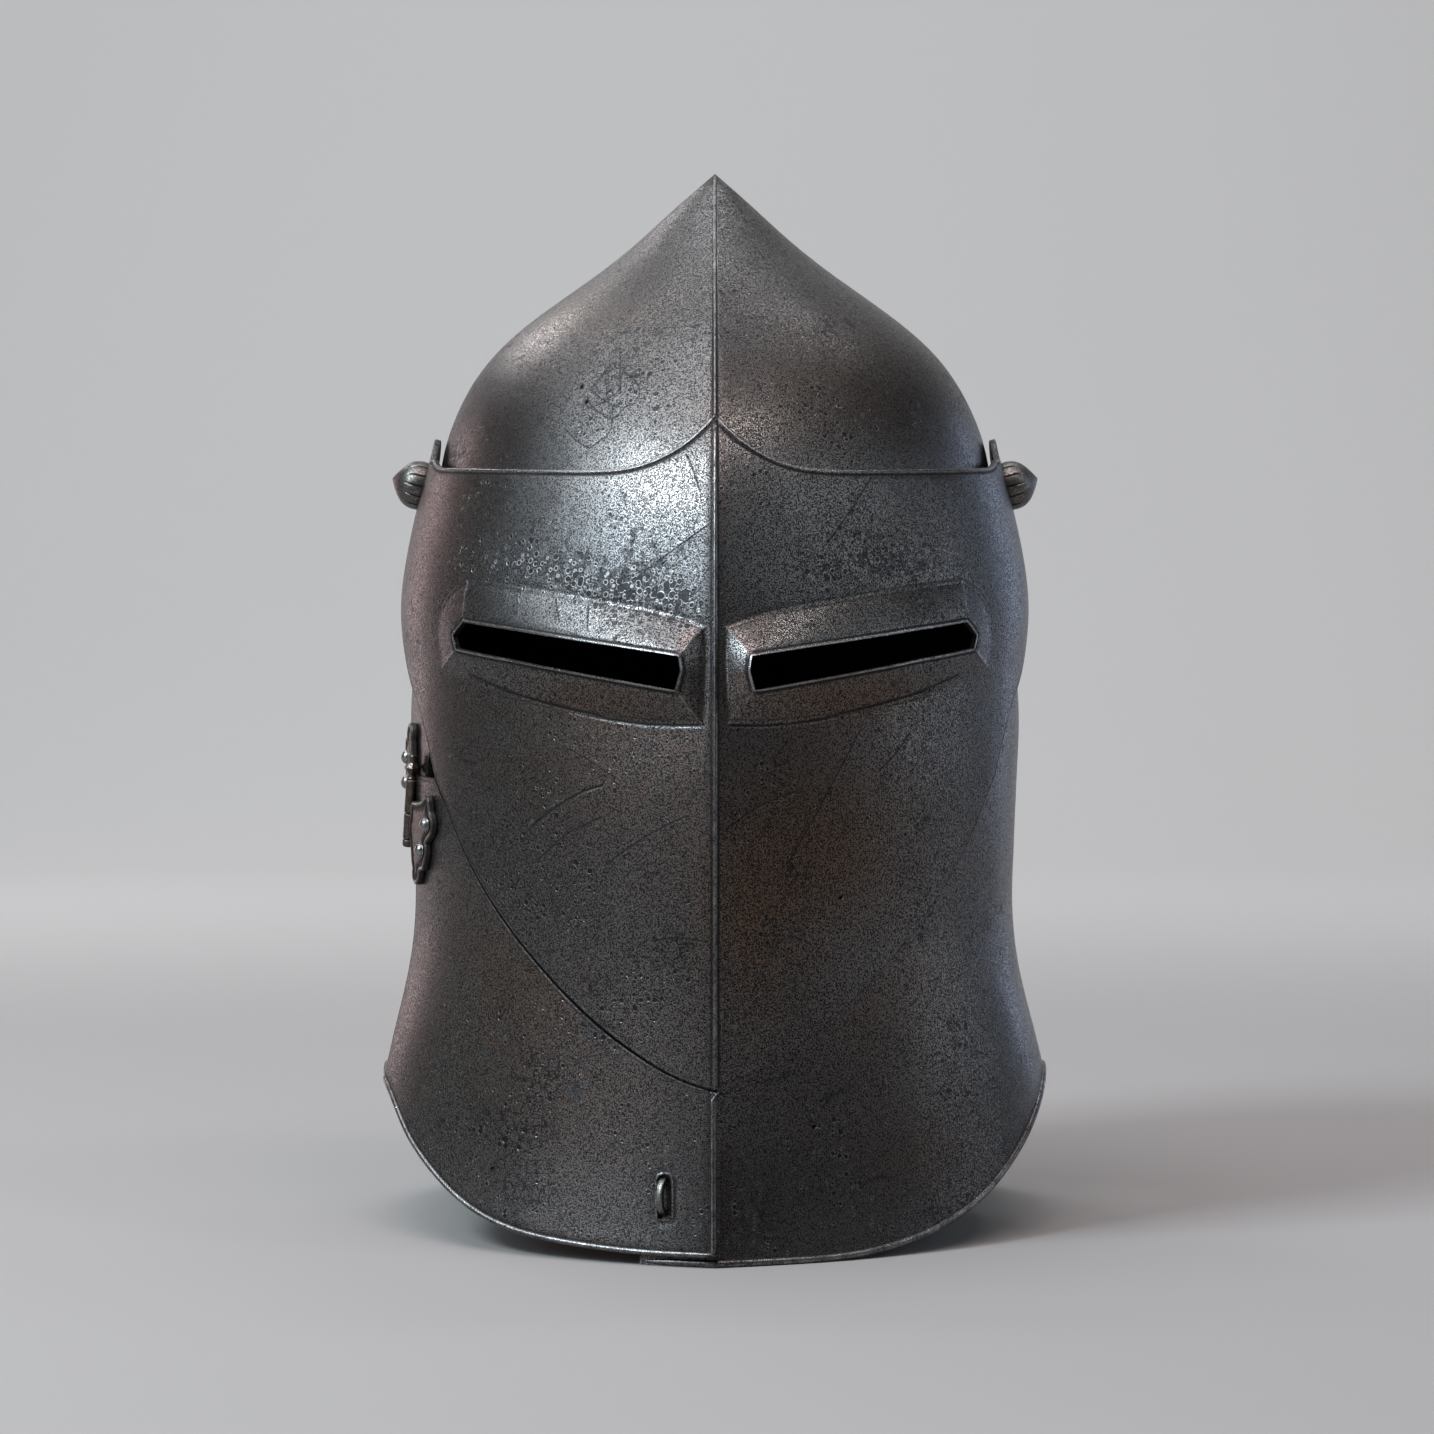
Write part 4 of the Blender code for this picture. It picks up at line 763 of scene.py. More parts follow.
def domeRivetTree():        # a domed head with a thin flange on each point, turned to face out
    tree, given, made = newTree("domeRivets", "GeometryNodeTree", {
        "Places": "Geometry", "Radius": 0.002, "Height": 0.0015, "Flange": 0.0003, "Dent": 0.00012,
        "Seed": 5, "Finish": "Material"}, {"Rivets": "Geometry"})
    ball = addNode(tree, "GeometryNodeMeshUVSphere", Segments=28, Rings=20, Radius=1.0)
    size = addNode(tree, "ShaderNodeCombineXYZ", X=given["Radius"], Y=given["Radius"], Z=given["Height"])
    dome = addNode(tree, "GeometryNodeTransform", i0=ball.outputs[0], Scale=size.outputs[0])
    disc = addNode(tree, "GeometryNodeMeshCylinder", Vertices=28, Depth=given["Flange"],
                   Radius=times(tree, given["Radius"], 1.06))
    whole = addNode(tree, "GeometryNodeJoinGeometry")
    for part in (dome, disc):
        tree.links.new(part.outputs[0], whole.inputs[0])
    outward = addNode(tree, "GeometryNodeInputNamedAttribute", {"data_type": "FLOAT_VECTOR"}, Name="outward")
    turn = addNode(tree, "FunctionNodeAlignRotationToVector", {"axis": "Z"},
                   Vector=outward.outputs["Attribute"])
    spin = addNode(tree, "FunctionNodeRandomValue", {"data_type": "FLOAT"}, Seed=given["Seed"], i3=6.28)
    spin = addNode(tree, "ShaderNodeCombineXYZ", Z=spin.outputs[1])
    spin = addNode(tree, "FunctionNodeEulerToRotation", i0=spin.outputs[0])
    spun = addNode(tree, "FunctionNodeRotateRotation", {"rotation_space": "LOCAL"},
                   i0=turn.outputs[0], i1=spin.outputs[0])
    heads = addNode(tree, "GeometryNodeInstanceOnPoints", i0=given["Places"],
                    Instance=whole.outputs[0], Rotation=spun.outputs[0])
    real = addNode(tree, "GeometryNodeRealizeInstances", i0=heads.outputs[0])
    position = addNode(tree, "GeometryNodeInputPosition").outputs[0]
    push = swing(tree, noiseField(tree, position, 900.0, 1.0), given["Dent"])
    move = vectorCalc(tree, "SCALE", addNode(tree, "GeometryNodeInputNormal").outputs[0], Scale=push)
    dented = addNode(tree, "GeometryNodeSetPosition", i0=real.outputs[0], Offset=move)
    return finishTree(tree, dented.outputs[0], given["Finish"], made["Rivets"])


def grown(name, tree, places, edges, inputs, outward=None):      # the tree's result as a plain mesh
    seed = bpy.data.meshes.new(name + "Path")
    seed.from_pydata((np.asarray(places) * mm).tolist(), edges, [])
    if outward is not None:
        layer = seed.attributes.new("outward", "FLOAT_VECTOR", "POINT")
        layer.data.foreach_set("vector", np.asarray(outward, np.float32).ravel())
    holder = bpy.data.objects.new(name + "Path", seed)
    bpy.context.scene.collection.objects.link(holder)
    modifier = holder.modifiers.new(tree.name, "NODES")
    modifier.node_group = tree
    for item in tree.interface.items_tree:
        if item.item_type == "SOCKET" and item.in_out == "INPUT" and item.name in inputs:
            modifier[item.identifier] = inputs[item.name]
    graph = bpy.context.evaluated_depsgraph_get()
    mesh = bpy.data.meshes.new_from_object(holder.evaluated_get(graph), depsgraph=graph)
    bpy.data.objects.remove(holder)
    mesh.name = name
    piece = bpy.data.objects.new(name, mesh)
    bpy.context.scene.collection.objects.link(piece)
    print(name, len(mesh.polygons), "faces")
    return piece


def rolled(name, line, radius, material, taper):
    edges = [(i, i + 1) for i in range(len(line) - 1)]
    return grown(name, rolledEdge, line, edges,
                 {"Radius": radius * mm, "Taper": taper * mm, "Finish": material})


# Turned and ringed pieces
def ringPoints(centre, axis, radius, count, flute=0.0):
    axis = unit(axis)
    side = unit(np.cross(axis, (0, 1, 0)))
    other = np.cross(axis, side)
    turn = np.arange(count) * 2 * np.pi / count
    phase = np.abs((bolt["flutes"] * turn / (2 * np.pi)) % 1.0 - 0.5)
    petal = np.clip(1 - phase / bolt["fluteWidth"], 0, 1)
    wide = radius * (1 - flute * petal)
    return centre + wide[:, None] * (np.cos(turn)[:, None] * side + np.sin(turn)[:, None] * other)


def ringSkin(rings):
    verts = [p for points in rings for p in np.atleast_2d(points)]
    count = len(rings[1])
    polys = []
    last = 1 + (len(rings) - 3) * count
    for i in range(count):
        j = (i + 1) % count
        polys.append((0, 1 + j, 1 + i))
        for k in range(len(rings) - 3):
            low = 1 + k * count
            polys.append((low + i, low + j, low + j + count, low + i + count))
        polys.append((last + i, last + j, len(verts) - 1))
    return verts, polys


def turnedRings(centre, axis, profile, count, flute=None):
    axis = unit(axis)
    rings = []
    for along, radius in profile:
        place = np.asarray(centre, float) + along * axis
        rings.append(ringPoints(place, axis, radius, count, flute(along) if flute else 0.0)
                     if radius > 0 else place)
    return rings


def bevelled(profile, size):      # every corner of a profile cut off
    points = [profile[0]]
    for before, here, after in zip(profile, profile[1:], profile[2:]):
        here = np.array(here)
        for other in (before, after):
            way = np.array(other) - here
            length = np.linalg.norm(way)
            points.append(tuple(here + way * min(size, 0.4 * length) / length))
    return points + [profile[-1]]


def several(name, parts, material, smoothAngle=35):
    places, polys = [], []
    for verts, faces in parts:
        polys += [tuple(i + len(places) for i in f) for f in faces]
        places += list(verts)
    return meshPiece(name, places, polys, material, None, smoothAngle)


# Finishes
def pittingGroup():         # fine grain, round pits of many sizes and the bright rings round some
    tree, given, made = newTree("pitting", "ShaderNodeTree", {
        "Vector": "Vector", "Grain Size": 0.001, "Pit Size": 0.002, "Pit Amount": 0.5},
        {"Grain": "Float", "Pits": "Float", "Rings": "Float", "Height": "Float"})
    vector, amount = given["Vector"], given["Pit Amount"]
    fine, coarse = over(tree, 1.0, given["Grain Size"]), over(tree, 1.0, given["Pit Size"])
    grain = smoothStep(tree, noiseField(tree, vector, fine, 2.0, Roughness=0.62), 0.36, 0.6)
    away, chance = cells(tree, vector, times(tree, fine, 0.72))
    speck = smoothStep(tree, minus(tree, times(tree, chance, 0.55), away), -0.12, 0.08)
    grain = times(tree, grain, minus(tree, 1.0, times(tree, speck, 0.8)))
    crowd = mapRange(tree, noiseField(tree, vector, 38.0, 2.0), 0.35, 0.7)
    rare = minus(tree, 2.5, times(tree, 1.6, minus(tree, amount, 0.9, clamp=True)))
    found = []
    for share, shift in ((1.0, 0.0), (2.3, 0.37)):      # large pits and small ones
        moved = vectorCalc(tree, "ADD", vector, (shift, shift, 0.11))
        away, chance = cells(tree, moved, times(tree, coarse, share))
        wide = times(tree, calc(tree, "POWER", chance, rare), times(tree, amount, plus(tree, crowd, 0.25)))
        near = minus(tree, times(tree, wide, 0.55), away)
        found.append((smoothStep(tree, near, -0.03, 0.07), near, wide))
    (large, near, wide), (small, _, _) = found
    ring = minus(tree, smoothStep(tree, near, -0.16, -0.05), large, clamp=True)
    ring = times(tree, ring, mapRange(tree, wide, 0.25, 0.45))
    pit = calc(tree, "MAXIMUM", large, small)
    height = plus(tree, minus(tree, times(tree, grain, 0.25), pit), times(tree, ring, 0.4))
    for label, socket in (("Grain", grain), ("Pits", pit), ("Rings", ring), ("Height", height)):
        tree.links.new(socket, made[label])
    return tree


def patinaGroup():          # dark patches with ragged, grainy edges
    tree, given, made = newTree("patina", "ShaderNodeTree", {
        "Vector": "Vector", "Patch Size": 0.03, "Edge Grain": 0.0012, "Amount": 0.5, "Place": 0.0},
        {"Mask": "Float"})
    vector, patch = given["Vector"], given["Patch Size"]
    total = noiseField(tree, vector, over(tree, 1.0, patch), 3.0, Roughness=0.55)
    small = noiseField(tree, vector, over(tree, 0.4, given["Edge Grain"]), 2.0, Roughness=0.7)
    middle = noiseField(tree, vector, over(tree, 6.0, patch), 2.0, Roughness=0.6)
    for part in (swing(tree, small, 1.3), swing(tree, middle, 1.1), times(tree, given["Place"], 0.3)):
        total = plus(tree, total, part)
    start = minus(tree, 0.95, times(tree, given["Amount"], 0.5))
    tree.links.new(smoothStep(tree, total, start, plus(tree, start, 0.22)), made["Mask"])
    return tree


def scratchGroup():         # long thin lines in three directions, broken up by patches
    tree, given, made = newTree("scratches", "ShaderNodeTree", {
        "Vector": "Vector", "Length": 0.05, "Width": 0.0016, "Amount": 0.5}, {"Mask": "Float"})
    size = addNode(tree, "ShaderNodeCombineXYZ", X=over(tree, 1.0, given["Length"]), Y=6.0,
                   Z=over(tree, 0.16, given["Width"])).outputs[0]
    start = minus(tree, 0.72, times(tree, given["Amount"], 0.2))
    total = None
    for turn, shift in ((35.0, 0.0), (62.0, 3.1), (118.0, 7.7)):
        flat = addNode(tree, "ShaderNodeMapping", i0=given["Vector"],
                       Rotation=(0.0, math.radians(turn), 0.0), Location=(shift, 0.0, shift)).outputs[0]
        ridge = noiseField(tree, vectorCalc(tree, "MULTIPLY", flat, size), 1.0, 0.0)
        line = smoothStep(tree, calc(tree, "ABSOLUTE", minus(tree, ridge, 0.5)), 0.010, 0.003)
        area = noiseField(tree, given["Vector"], 26.0, 1.0, {"noise_dimensions": "4D"}, W=shift)
        line = times(tree, line, mapRange(tree, area, start, plus(tree, start, 0.06)))
        total = line if total is None else calc(tree, "MAXIMUM", total, line)
    tree.links.new(total, made["Mask"])
    return tree


def crackleGroup():         # a web of fine dark cracks, in patches
    tree, given, made = newTree("crackle", "ShaderNodeTree", {
        "Vector": "Vector", "Cell Size": 0.004, "Width": 0.07, "Amount": 0.4, "Place": 0.0},
        {"Mask": "Float"})
    vector, width = given["Vector"], given["Width"]
    bend = addNode(tree, "ShaderNodeTexNoise", Vector=vector, Scale=330.0, Detail=1.0).outputs["Color"]
    bent = vectorCalc(tree, "ADD", vector, vectorCalc(tree, "SCALE", bend, Scale=0.004))
    edge = addNode(tree, "ShaderNodeTexVoronoi", {"feature": "DISTANCE_TO_EDGE"}, Vector=bent,
                   Scale=over(tree, 1.0, given["Cell Size"])).outputs["Distance"]
    line = smoothStep(tree, edge, width, times(tree, width, 0.3))
    area = plus(tree, noiseField(tree, vector, 34.0, 2.0), times(tree, given["Place"], 0.25))
    start = minus(tree, 0.72, times(tree, given["Amount"], 0.25))
    part = mapRange(tree, area, start, plus(tree, start, 0.1))
    tree.links.new(times(tree, line, part), made["Mask"])
    return tree


def edgeWearGroup():        # where handling has rubbed the metal bright
    tree, given, made = newTree("edgeWear", "ShaderNodeTree", {
        "Vector": "Vector", "Worn": 0.0, "Amount": 0.7}, {"Mask": "Float"})
    total = plus(tree, given["Worn"], swing(tree, noiseField(tree, given["Vector"], 240.0, 3.0), 0.9))
    start = minus(tree, 1.0, given["Amount"])
    mask = smoothStep(tree, total, start, plus(tree, start, 0.5))
    some = calc(tree, "GREATER_THAN", given["Worn"], 0.01)
    tree.links.new(times(tree, mask, some), made["Mask"])
    return tree


def blendColour(tree, factor, first, second):
    return addNode(tree, "ShaderNodeMix", {"data_type": "RGBA"}, i0=factor, i6=first, i7=second).outputs[2]


def attribute(tree, name):
    return addNode(tree, "ShaderNodeAttribute", {"attribute_name": name}).outputs["Fac"]


def steelMaterial(name, look):
    material = bpy.data.materials.new(name)
    material.use_nodes = True
    tree = material.node_tree
    vector = addNode(tree, "ShaderNodeTexCoord").outputs["Object"]
    hollow, within, pitted = [attribute(tree, label) for label in ("hollow", "inside", "pitted")]

    def effect(group, **sockets):
        return addNode(tree, "ShaderNodeGroup", {"node_tree": group}, Vector=vector, **sockets).outputs

    pit = effect(pitting, Grain_Size=look["grainSize"] * mm, Pit_Size=look["pitSize"] * mm,
                 Pit_Amount=plus(tree, look["pitAmount"], times(tree, pitted, 0.9)))
    dark = effect(patina, Patch_Size=look["patchSize"] * mm, Amount=look["patinaAmount"],
                  Place=attribute(tree, "patina"))[0]
    lines = effect(scratches, Amount=look["scratchAmount"])[0]
    web = effect(crackle, Amount=look["crackAmount"], Place=attribute(tree, "cracked"))[0]
    rubbed = effect(edgeWear, Amount=look["wearAmount"],
                    Worn=plus(tree, attribute(tree, "worn"), look["wornAll"], clamp=True))[0]

    cloud = mapRange(tree, noiseField(tree, vector, 14.0, 2.0), 0.35, 0.65)
    warm = plus(tree, attribute(tree, "warm"),
                times(tree, noiseField(tree, vector, 21.0, 2.0), look["warmth"]), clamp=True)
    level = mapRange(tree, pit["Grain"], 0.0, 1.0, 1 - look["speckle"], 1 + 0.45 * look["speckle"])
    ringed = plus(tree, 0.12, times(tree, pitted, 0.7), clamp=True)
    colour = blendColour(tree, cloud, (*look["steel"], 1), (*look["steelDull"], 1))
    colour = blendColour(tree, warm, colour, (*look["brown"], 1))
    colour = blendColour(tree, times(tree, dark, 0.85), colour, (*look["patina"], 1))
    colour = vectorCalc(tree, "SCALE", colour, Scale=level)
    # Painted shade: the first layer darkens broad patches of plate where less light falls.
    layers = ((attribute(tree, "paintedShade"), 1.0, "dark"), (pit["Pits"], look["pitDark"], "dark"),
              (pit["Rings"], ringed, "bright"), (web, 0.8, "dark"), (lines, 0.5, "dark"),
              # rubbed edges; painted shade in dips and grooves, with real dark cracks, scratches and pits;
              # painted shade on the inner skin
              (rubbed, look["wornBright"], "bright"), (hollow, 0.9, "dark"), (within, 0.85, "dark"))
    for mask, strength, tint in layers:
        colour = blendColour(tree, times(tree, mask, strength), colour, (*look[tint], 1))

    rough = mapRange(tree, pit["Grain"], 0.0, 1.0, look["roughest"], look["smoothest"])
    rough = plus(tree, rough, times(tree, dark, 0.16))
    rough = plus(tree, rough, times(tree, plus(tree, hollow, within), 0.25))
    rough = minus(tree, rough, times(tree, rubbed, 0.12), clamp=True)
    metal = minus(tree, 1.0, times(tree, calc(tree, "MAXIMUM", dark, within), 0.25))
    bump = addNode(tree, "ShaderNodeBump", Height=pit["Height"], Distance=look["bumpDepth"] * mm,
                   Strength=look["bumpStrength"]).outputs[0]
    shader = tree.nodes["Principled BSDF"]
    results = {"Base Color": colour, "Roughness": rough, "Metallic": metal, "Normal": bump}
    for label, socket in results.items():
        tree.links.new(socket, shader.inputs[label])
    return material


plateLook = {"grainSize": 0.5, "pitSize": 2.3, "pitAmount": 0.85, "patchSize": 34.0,
             "patinaAmount": 0.45, "scratchAmount": 0.5, "crackAmount": 0.35, "wearAmount": 0.75,
             "wornAll": 0.0, "wornBright": 0.5, "steel": (0.150, 0.151, 0.155),
             "steelDull": (0.105, 0.104, 0.106), "brown": (0.115, 0.082, 0.064), "warmth": 0.35,
             "dark": (0.018, 0.018, 0.02), "patina": (0.042, 0.044, 0.047),
             "bright": (0.34, 0.34, 0.345), "speckle": 0.88, "pitDark": 0.85, "roughest": 0.44,
             "smoothest": 0.27, "bumpDepth": 0.2, "bumpStrength": 0.5}
rollLook = dict(plateLook, wornAll=0.45, wornBright=0.5, pitAmount=0.55, patinaAmount=0.3,
                smoothest=0.32, roughest=0.44, bumpStrength=0.4, crackAmount=0.0)
fittingLook = dict(plateLook, wornAll=0.2, wornBright=0.5, steel=(0.15, 0.135, 0.125),
                   steelDull=(0.095, 0.082, 0.074), brown=(0.085, 0.056, 0.042), warmth=0.7,
                   pitAmount=0.4, patinaAmount=0.45, smoothest=0.3, roughest=0.42,
                   bumpStrength=0.4, scratchAmount=0.2, crackAmount=0.0, speckle=0.5)
rivetLook = dict(fittingLook, steel=(0.30, 0.30, 0.30), steelDull=(0.2, 0.195, 0.19), warmth=0.15,
                 wornAll=0.5, smoothest=0.26, roughest=0.36, pitAmount=0.25)
boltLook = dict(fittingLook, steel=(0.2, 0.197, 0.193), steelDull=(0.13, 0.125, 0.12), warmth=0.4,
                smoothest=0.36, roughest=0.46)

pitting, patina, scratches, edgeWear = pittingGroup(), patinaGroup(), scratchGroup(), edgeWearGroup()
crackle = crackleGroup()
plateSteel = steelMaterial("pittedSteel", plateLook)
rollSteel = steelMaterial("rubbedEdges", rollLook)
fittingSteel = steelMaterial("wornFittings", fittingLook)
rivetSteel = steelMaterial("polishedRivets", rivetLook)
boltSteel = steelMaterial("boltSteel", boltLook)
rolledEdge, domeRivets = rolledEdgeTree(), domeRivetTree()
print("finishes made")

# Where the plates are dark, brown, cracked, pitted or given painted shade, seen from the front:
# middle, half width, half height, strength.
visorSpots = {
    "patina": ((-72, 245, 20, 8, 0.95), (-48, 241, 20, 8, 1.1), (-26, 236, 16, 8, 1.0), (-10, 229, 8, 6, 0.7),
               (45, 243, 20, 6.5, 1.1), (66, 244, 14, 7, 1.0), (-80, 210, 12, 8, 0.7),
               (-76, 186, 14, 9, 0.5), (60, 188, 26, 5, 0.45), (-58, 150, 14, 14, 0.25)),
    "warm": ((38, 150, 34, 38, 0.8), (12, 118, 16, 30, 0.6), (45, 196, 30, 10, 0.6), (-50, 172, 30, 26, 0.35),
             (-45, 196, 26, 8, 0.5)),
    "cracked": ((-58, 262, 20, 12, 0.35), (-30, 120, 20, 26, 0.3), (40, 130, 24, 20, 0.3)),
    # painted shade: broad darkening of the lower left of the visor and of both far flanks
    "paintedShade": ((-52, 140, 50, 58, 0.25), (-100, 180, 30, 60, 0.15), (98, 170, 24, 60, 0.15)),
    "pitted": ((-58, 240, 26, 7, 1.0), (-30, 234, 22, 9, 1.0), (-10, 228, 10, 8, 0.8), (52, 242, 26, 7, 0.6)),
}
lowerSpots = {      # on the door and on the skull beside it
    "patina": ((-40, 78, 26, 16, 0.7), (-62, 60, 22, 20, 0.45), (-52, 26, 26, 12, 0.45),
               (30, 60, 26, 16, 0.35), (60, 20, 24, 12, 0.5), (-14, 36, 8, 12, 0.5)),
    "warm": ((-74, 96, 18, 40, 0.35), (-50, 92, 18, 26, 0.25), (60, 90, 26, 34, 0.4), (70, 30, 24, 20, 0.45)),
    "cracked": ((-66, 62, 22, 22, 0.9), (-60, 26, 26, 14, 0.8), (40, 70, 20, 20, 0.4)),
    # painted shade: broad darkening low on the door and on the skull, on both sides
    "paintedShade": ((-40, 20, 50, 34, 0.3), (70, 15, 40, 34, 0.35), (95, 60, 30, 60, 0.1)),
}
crownSpots = {
    "patina": ((-10, 325, 18, 18, 0.5), (40, 330, 26, 16, 0.35), (-92, 282, 10, 10, 0.4)),
    "warm": ((-55, 330, 30, 14, 0.3), (50, 310, 34, 26, 0.35)),
    "cracked": ((-12, 324, 12, 14, 1.0), (-30, 296, 20, 16, 0.6), (26, 318, 14, 14, 0.4)),
}


# The skull: crown, cheeks and neck, with the fixed half of the throat
def skullOutline():
    corner = np.array([[around * np.pi / 2, rimLevel]])
    backLine = rimLine(backRim)
    backLine[:, 0] = backSeam - backLine[:, 0]
    right = smoothLine(join(rimLine(frontRim), corner, backLine[::-1]), 3.0)
    right[:, 1] = np.maximum(right[:, 1], 0.0)
    left = mirrored(right)
    left, leftFront = meet(left, doorBackEdge(38, hinge["skullUnderDoor"]))
    covered = np.clip((left[:, 0] - left[-1, 0] + hinge["skullUnderDoor"] + 0.5) / 2.0, 0, 1)
    left[:, 1] += hinge["cornerRise"] * covered      # the corner under the door stays out of sight
    leftFront[0] = left[-1]
    freeEdge = skullWall.fromFront([(skull["throatEdge"], z) for z in np.linspace(throatFront[0][1], 0, 28)])
    short = skullWall.fromFront([(x, 0.0) for x in (skull["throatEdge"], -20.0, -13.0, -6.0)])
    throat = skullWall.fromFront(smoothLine(throatFront, 3.0))
    cheek = skullWall.fromSide(smoothLine(cheekSide, 3.0))
    brow = skullWall.fromFront(smoothLine(browInner, 3.0))
    leftCheek = mirrored(cheek)
    leftCheek = leftCheek[leftCheek[:, 1] > skull["cheekTop"]]
    count = int(round(backSeam / 8.0))
    topRow = np.arange(count, -count - 1, -1) * backSeam / count
    topRow = np.array([(q, skull["topRow"]) for q in topRow])
    rise = np.append(np.arange(3.0, skull["topRow"] - 2.0, 3.0), skull["topRow"])
    sides = [np.array([(side * backSeam, z) for z in rise[::side]]) for side in (1, -1)]
    outline = join(short, right, sides[0], topRow, sides[1], left, leftFront, leftCheek[::-1],
                   mirrored(brow)[::-1], brow[::-1], cheek[::-1], throat[::-1], freeEdge)
    return outline, right, left


def makeSkull():
    outline, right, left = skullOutline()
    holes = [boltHole(skullWall, side) for side in (1, -1)]
    keelLow = upMiddle(np.arange(*skull["keelLow"], 2.5))
    keelHigh = upMiddle(np.append(np.arange(skull["keelFrom"], skull["topRow"] - 2.0, 2.5), skull["topRow"]))
    reliefs = [(keelHigh, False, keelProfile)]
    reliefs += marks(skullWall, skullCracks, crackProfile, 1.6, straightLine)
    reliefs += pits(skullWall, skullPits + throatPits)
    tip = np.array(skull["apex"])
    apex = [tip, tip - (0.0, 0.0, skull["apexThickness"])]
    floor = outline[outline[:, 1] < 0.01]
    spots = {label: crownSpots.get(label, ()) + low for label, low in lowerSpots.items()}
    piece = platePiece("skullShell", skullWall, outline, holes, [keelLow, keelHigh], reliefs, skull, 0.0,
                       plateSteel, apex, floor, spots=spots)
    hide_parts("skull")
    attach(piece, "shell")
    edge = left[-1, 0] - skull["rollBehindDoor"]
    short = skullWall.fromFront([(x, 0.0) for x in np.arange(-24.5, 4.0, 3.0)])
    way = join(short, right[right[:, 0] > 5.0], left[left[:, 0] < edge] + (2 * backSeam, 0))
    path = beside(way, skull["rollRadius"])
    wrapped = np.where(path[:, :1] > backSeam, path - (2 * backSeam, 0), path)
    roll = rolled("skullRimRoll", skullWall.off(wrapped, -0.2), skull["rollRadius"], rollSteel, 9.0)
    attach(roll, "shell")
    ridge = upMiddle(np.append(np.arange(*skull["ridge"], 6.0), skull["ridgeTop"]))
    line = smoothLine(skullWall.off(ridge, 0.1), 1.6)
    keel = rolled("skullKeel", line, skull["keelRadius"], rollSteel, 5.0)
    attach(keel, "shell")


# The visor: two flanks that meet at a keel, with a raised frame round each eye slot
def visorLowerEdge():
    side = visorWall.fromSide(smoothLine(rearEdge[-1:] + ((-49.0, 160.5),), 2.0))
    return join(side[:1], visorWall.fromFront(smoothLine(chinFront, 2.0)))


def frameRise(flat, slot, frameLoop):
    fromSlot = distance(flat, slot, True)
    fromFrame = distance(flat, frameLoop, True)
    within = inside(frameLoop, flat) | (fromFrame < 0.01)
    share = np.where(within, fromFrame / (fromSlot + fromFrame + 1e-9), 0)
    x = np.abs(visorWall.point(flat[:, 0] / around, flat[:, 1])[:, 0])
    return share * np.interp(x, visor["frameReach"], (visor["frameRiseNose"], visor["frameRiseTemple"]))


def makeVisor():
    brow = visorWall.fromFront(smoothLine(browFront, 1.8))
    temple = visorWall.fromSide(smoothLine(browSide, 2.0))
    lobe = visorWall.fromSide(arc((bolt["y"], bolt["z"]), visor["armRadius"], *visor["armArc"], 36))
    rear = visorWall.fromSide(smoothLine(rearEdge, 2.0))
    half = join(brow, temple, lobe, rear, visorLowerEdge())
    outline = join(half, mirrored(half))[:-1]
    slot = visorWall.fromFront(eyeSlot)
    frameLine = visorWall.fromFront(eyeFrame)
    slots = [straightLine(s, 1.3, True) for s in (slot, mirrored(slot))]
    top, end, nose = frameCorners
    frameLoop = join(smoothLine(frameLine[top:end + 1], 1.8), smoothLine(frameLine[end:nose + 1], 1.8),
                     straightLine(np.vstack([frameLine[nose:], frameLine[:1]]), 1.8))[:-1]
    frameLoops = [frameLoop, mirrored(frameLoop)]
    # the frame's edge fades out below at the temple, so its line starts and ends there
    inward, above = visor["edgeShown"]
    shown = frameLoop[(visorWall.off(frameLoop, 0.0)[:, 0] < inward) | (frameLoop[:, 1] > above)]
    start = int(np.argmax(np.linalg.norm(ahead(shown), axis=1))) + 1
    shown = np.roll(shown, -start, axis=0)
    joints = [straightLine([frameLine[i], slot[j]], 1.5)[:-1] for i, j in mitres]
    sides = (slots[0], joints), (slots[1], [mirrored(j) for j in joints])
    joints = [j[distance(j, hole, True) > visor["mitreGap"]] for hole, some in sides for j in some]
    keel = upMiddle(np.arange(*visor["keel"], 2.5))
    creases = [np.vstack([f, f[:1]]) for f in frameLoops] + [keel]
    holes = slots + [boltHole(visorWall, side) for side in (1, -1)]
    upper = join(brow, temple, lobe)
    upper = join(mirrored(upper), upper)
    lower = join(rear, visorLowerEdge())
    crease = visorWall.fromFront(smoothLine(lowerCrease, 1.8))
    reliefs = [(s, True, lipProfile) for s in slots]
    reliefs += [(upper, False, browProfile), (join(lower, mirrored(lower)), False, edgeProfile)]
    reliefs += [(keel, False, keelProfile), (crease, False, creaseProfile),
                (mirrored(crease), False, creaseProfile)]
    reliefs += [(j, False, mitreProfile) for j in joints]
    reliefs += [(f, False, frameProfile) for f in (shown, mirrored(shown))]
    reliefs += marks(visorWall, visorScratches, scratchProfile) + pits(visorWall, visorPits)
    reliefs += marks(visorWall, [visorGash], gashProfile, 1.2)

    def push(flat):
        return frameRise(flat, slots[0], frameLoops[0]) + frameRise(flat, slots[1], frameLoops[1])

    piece = platePiece("visorPlate", visorWall, outline, holes, creases, reliefs, visor, 0.0, plateSteel,
                       push=push, spots=visorSpots, sharp=46)
    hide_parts("visor")
    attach(piece, "visor_body")
    line = smoothLine(visorWall.off(upMiddle(np.arange(*visor["bead"], 6.0)), 0.1), 1.6)
    bead = rolled("visorKeel", line, visor["keelRadius"], rollSteel, 3.0)
    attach(bead, "visor_body")


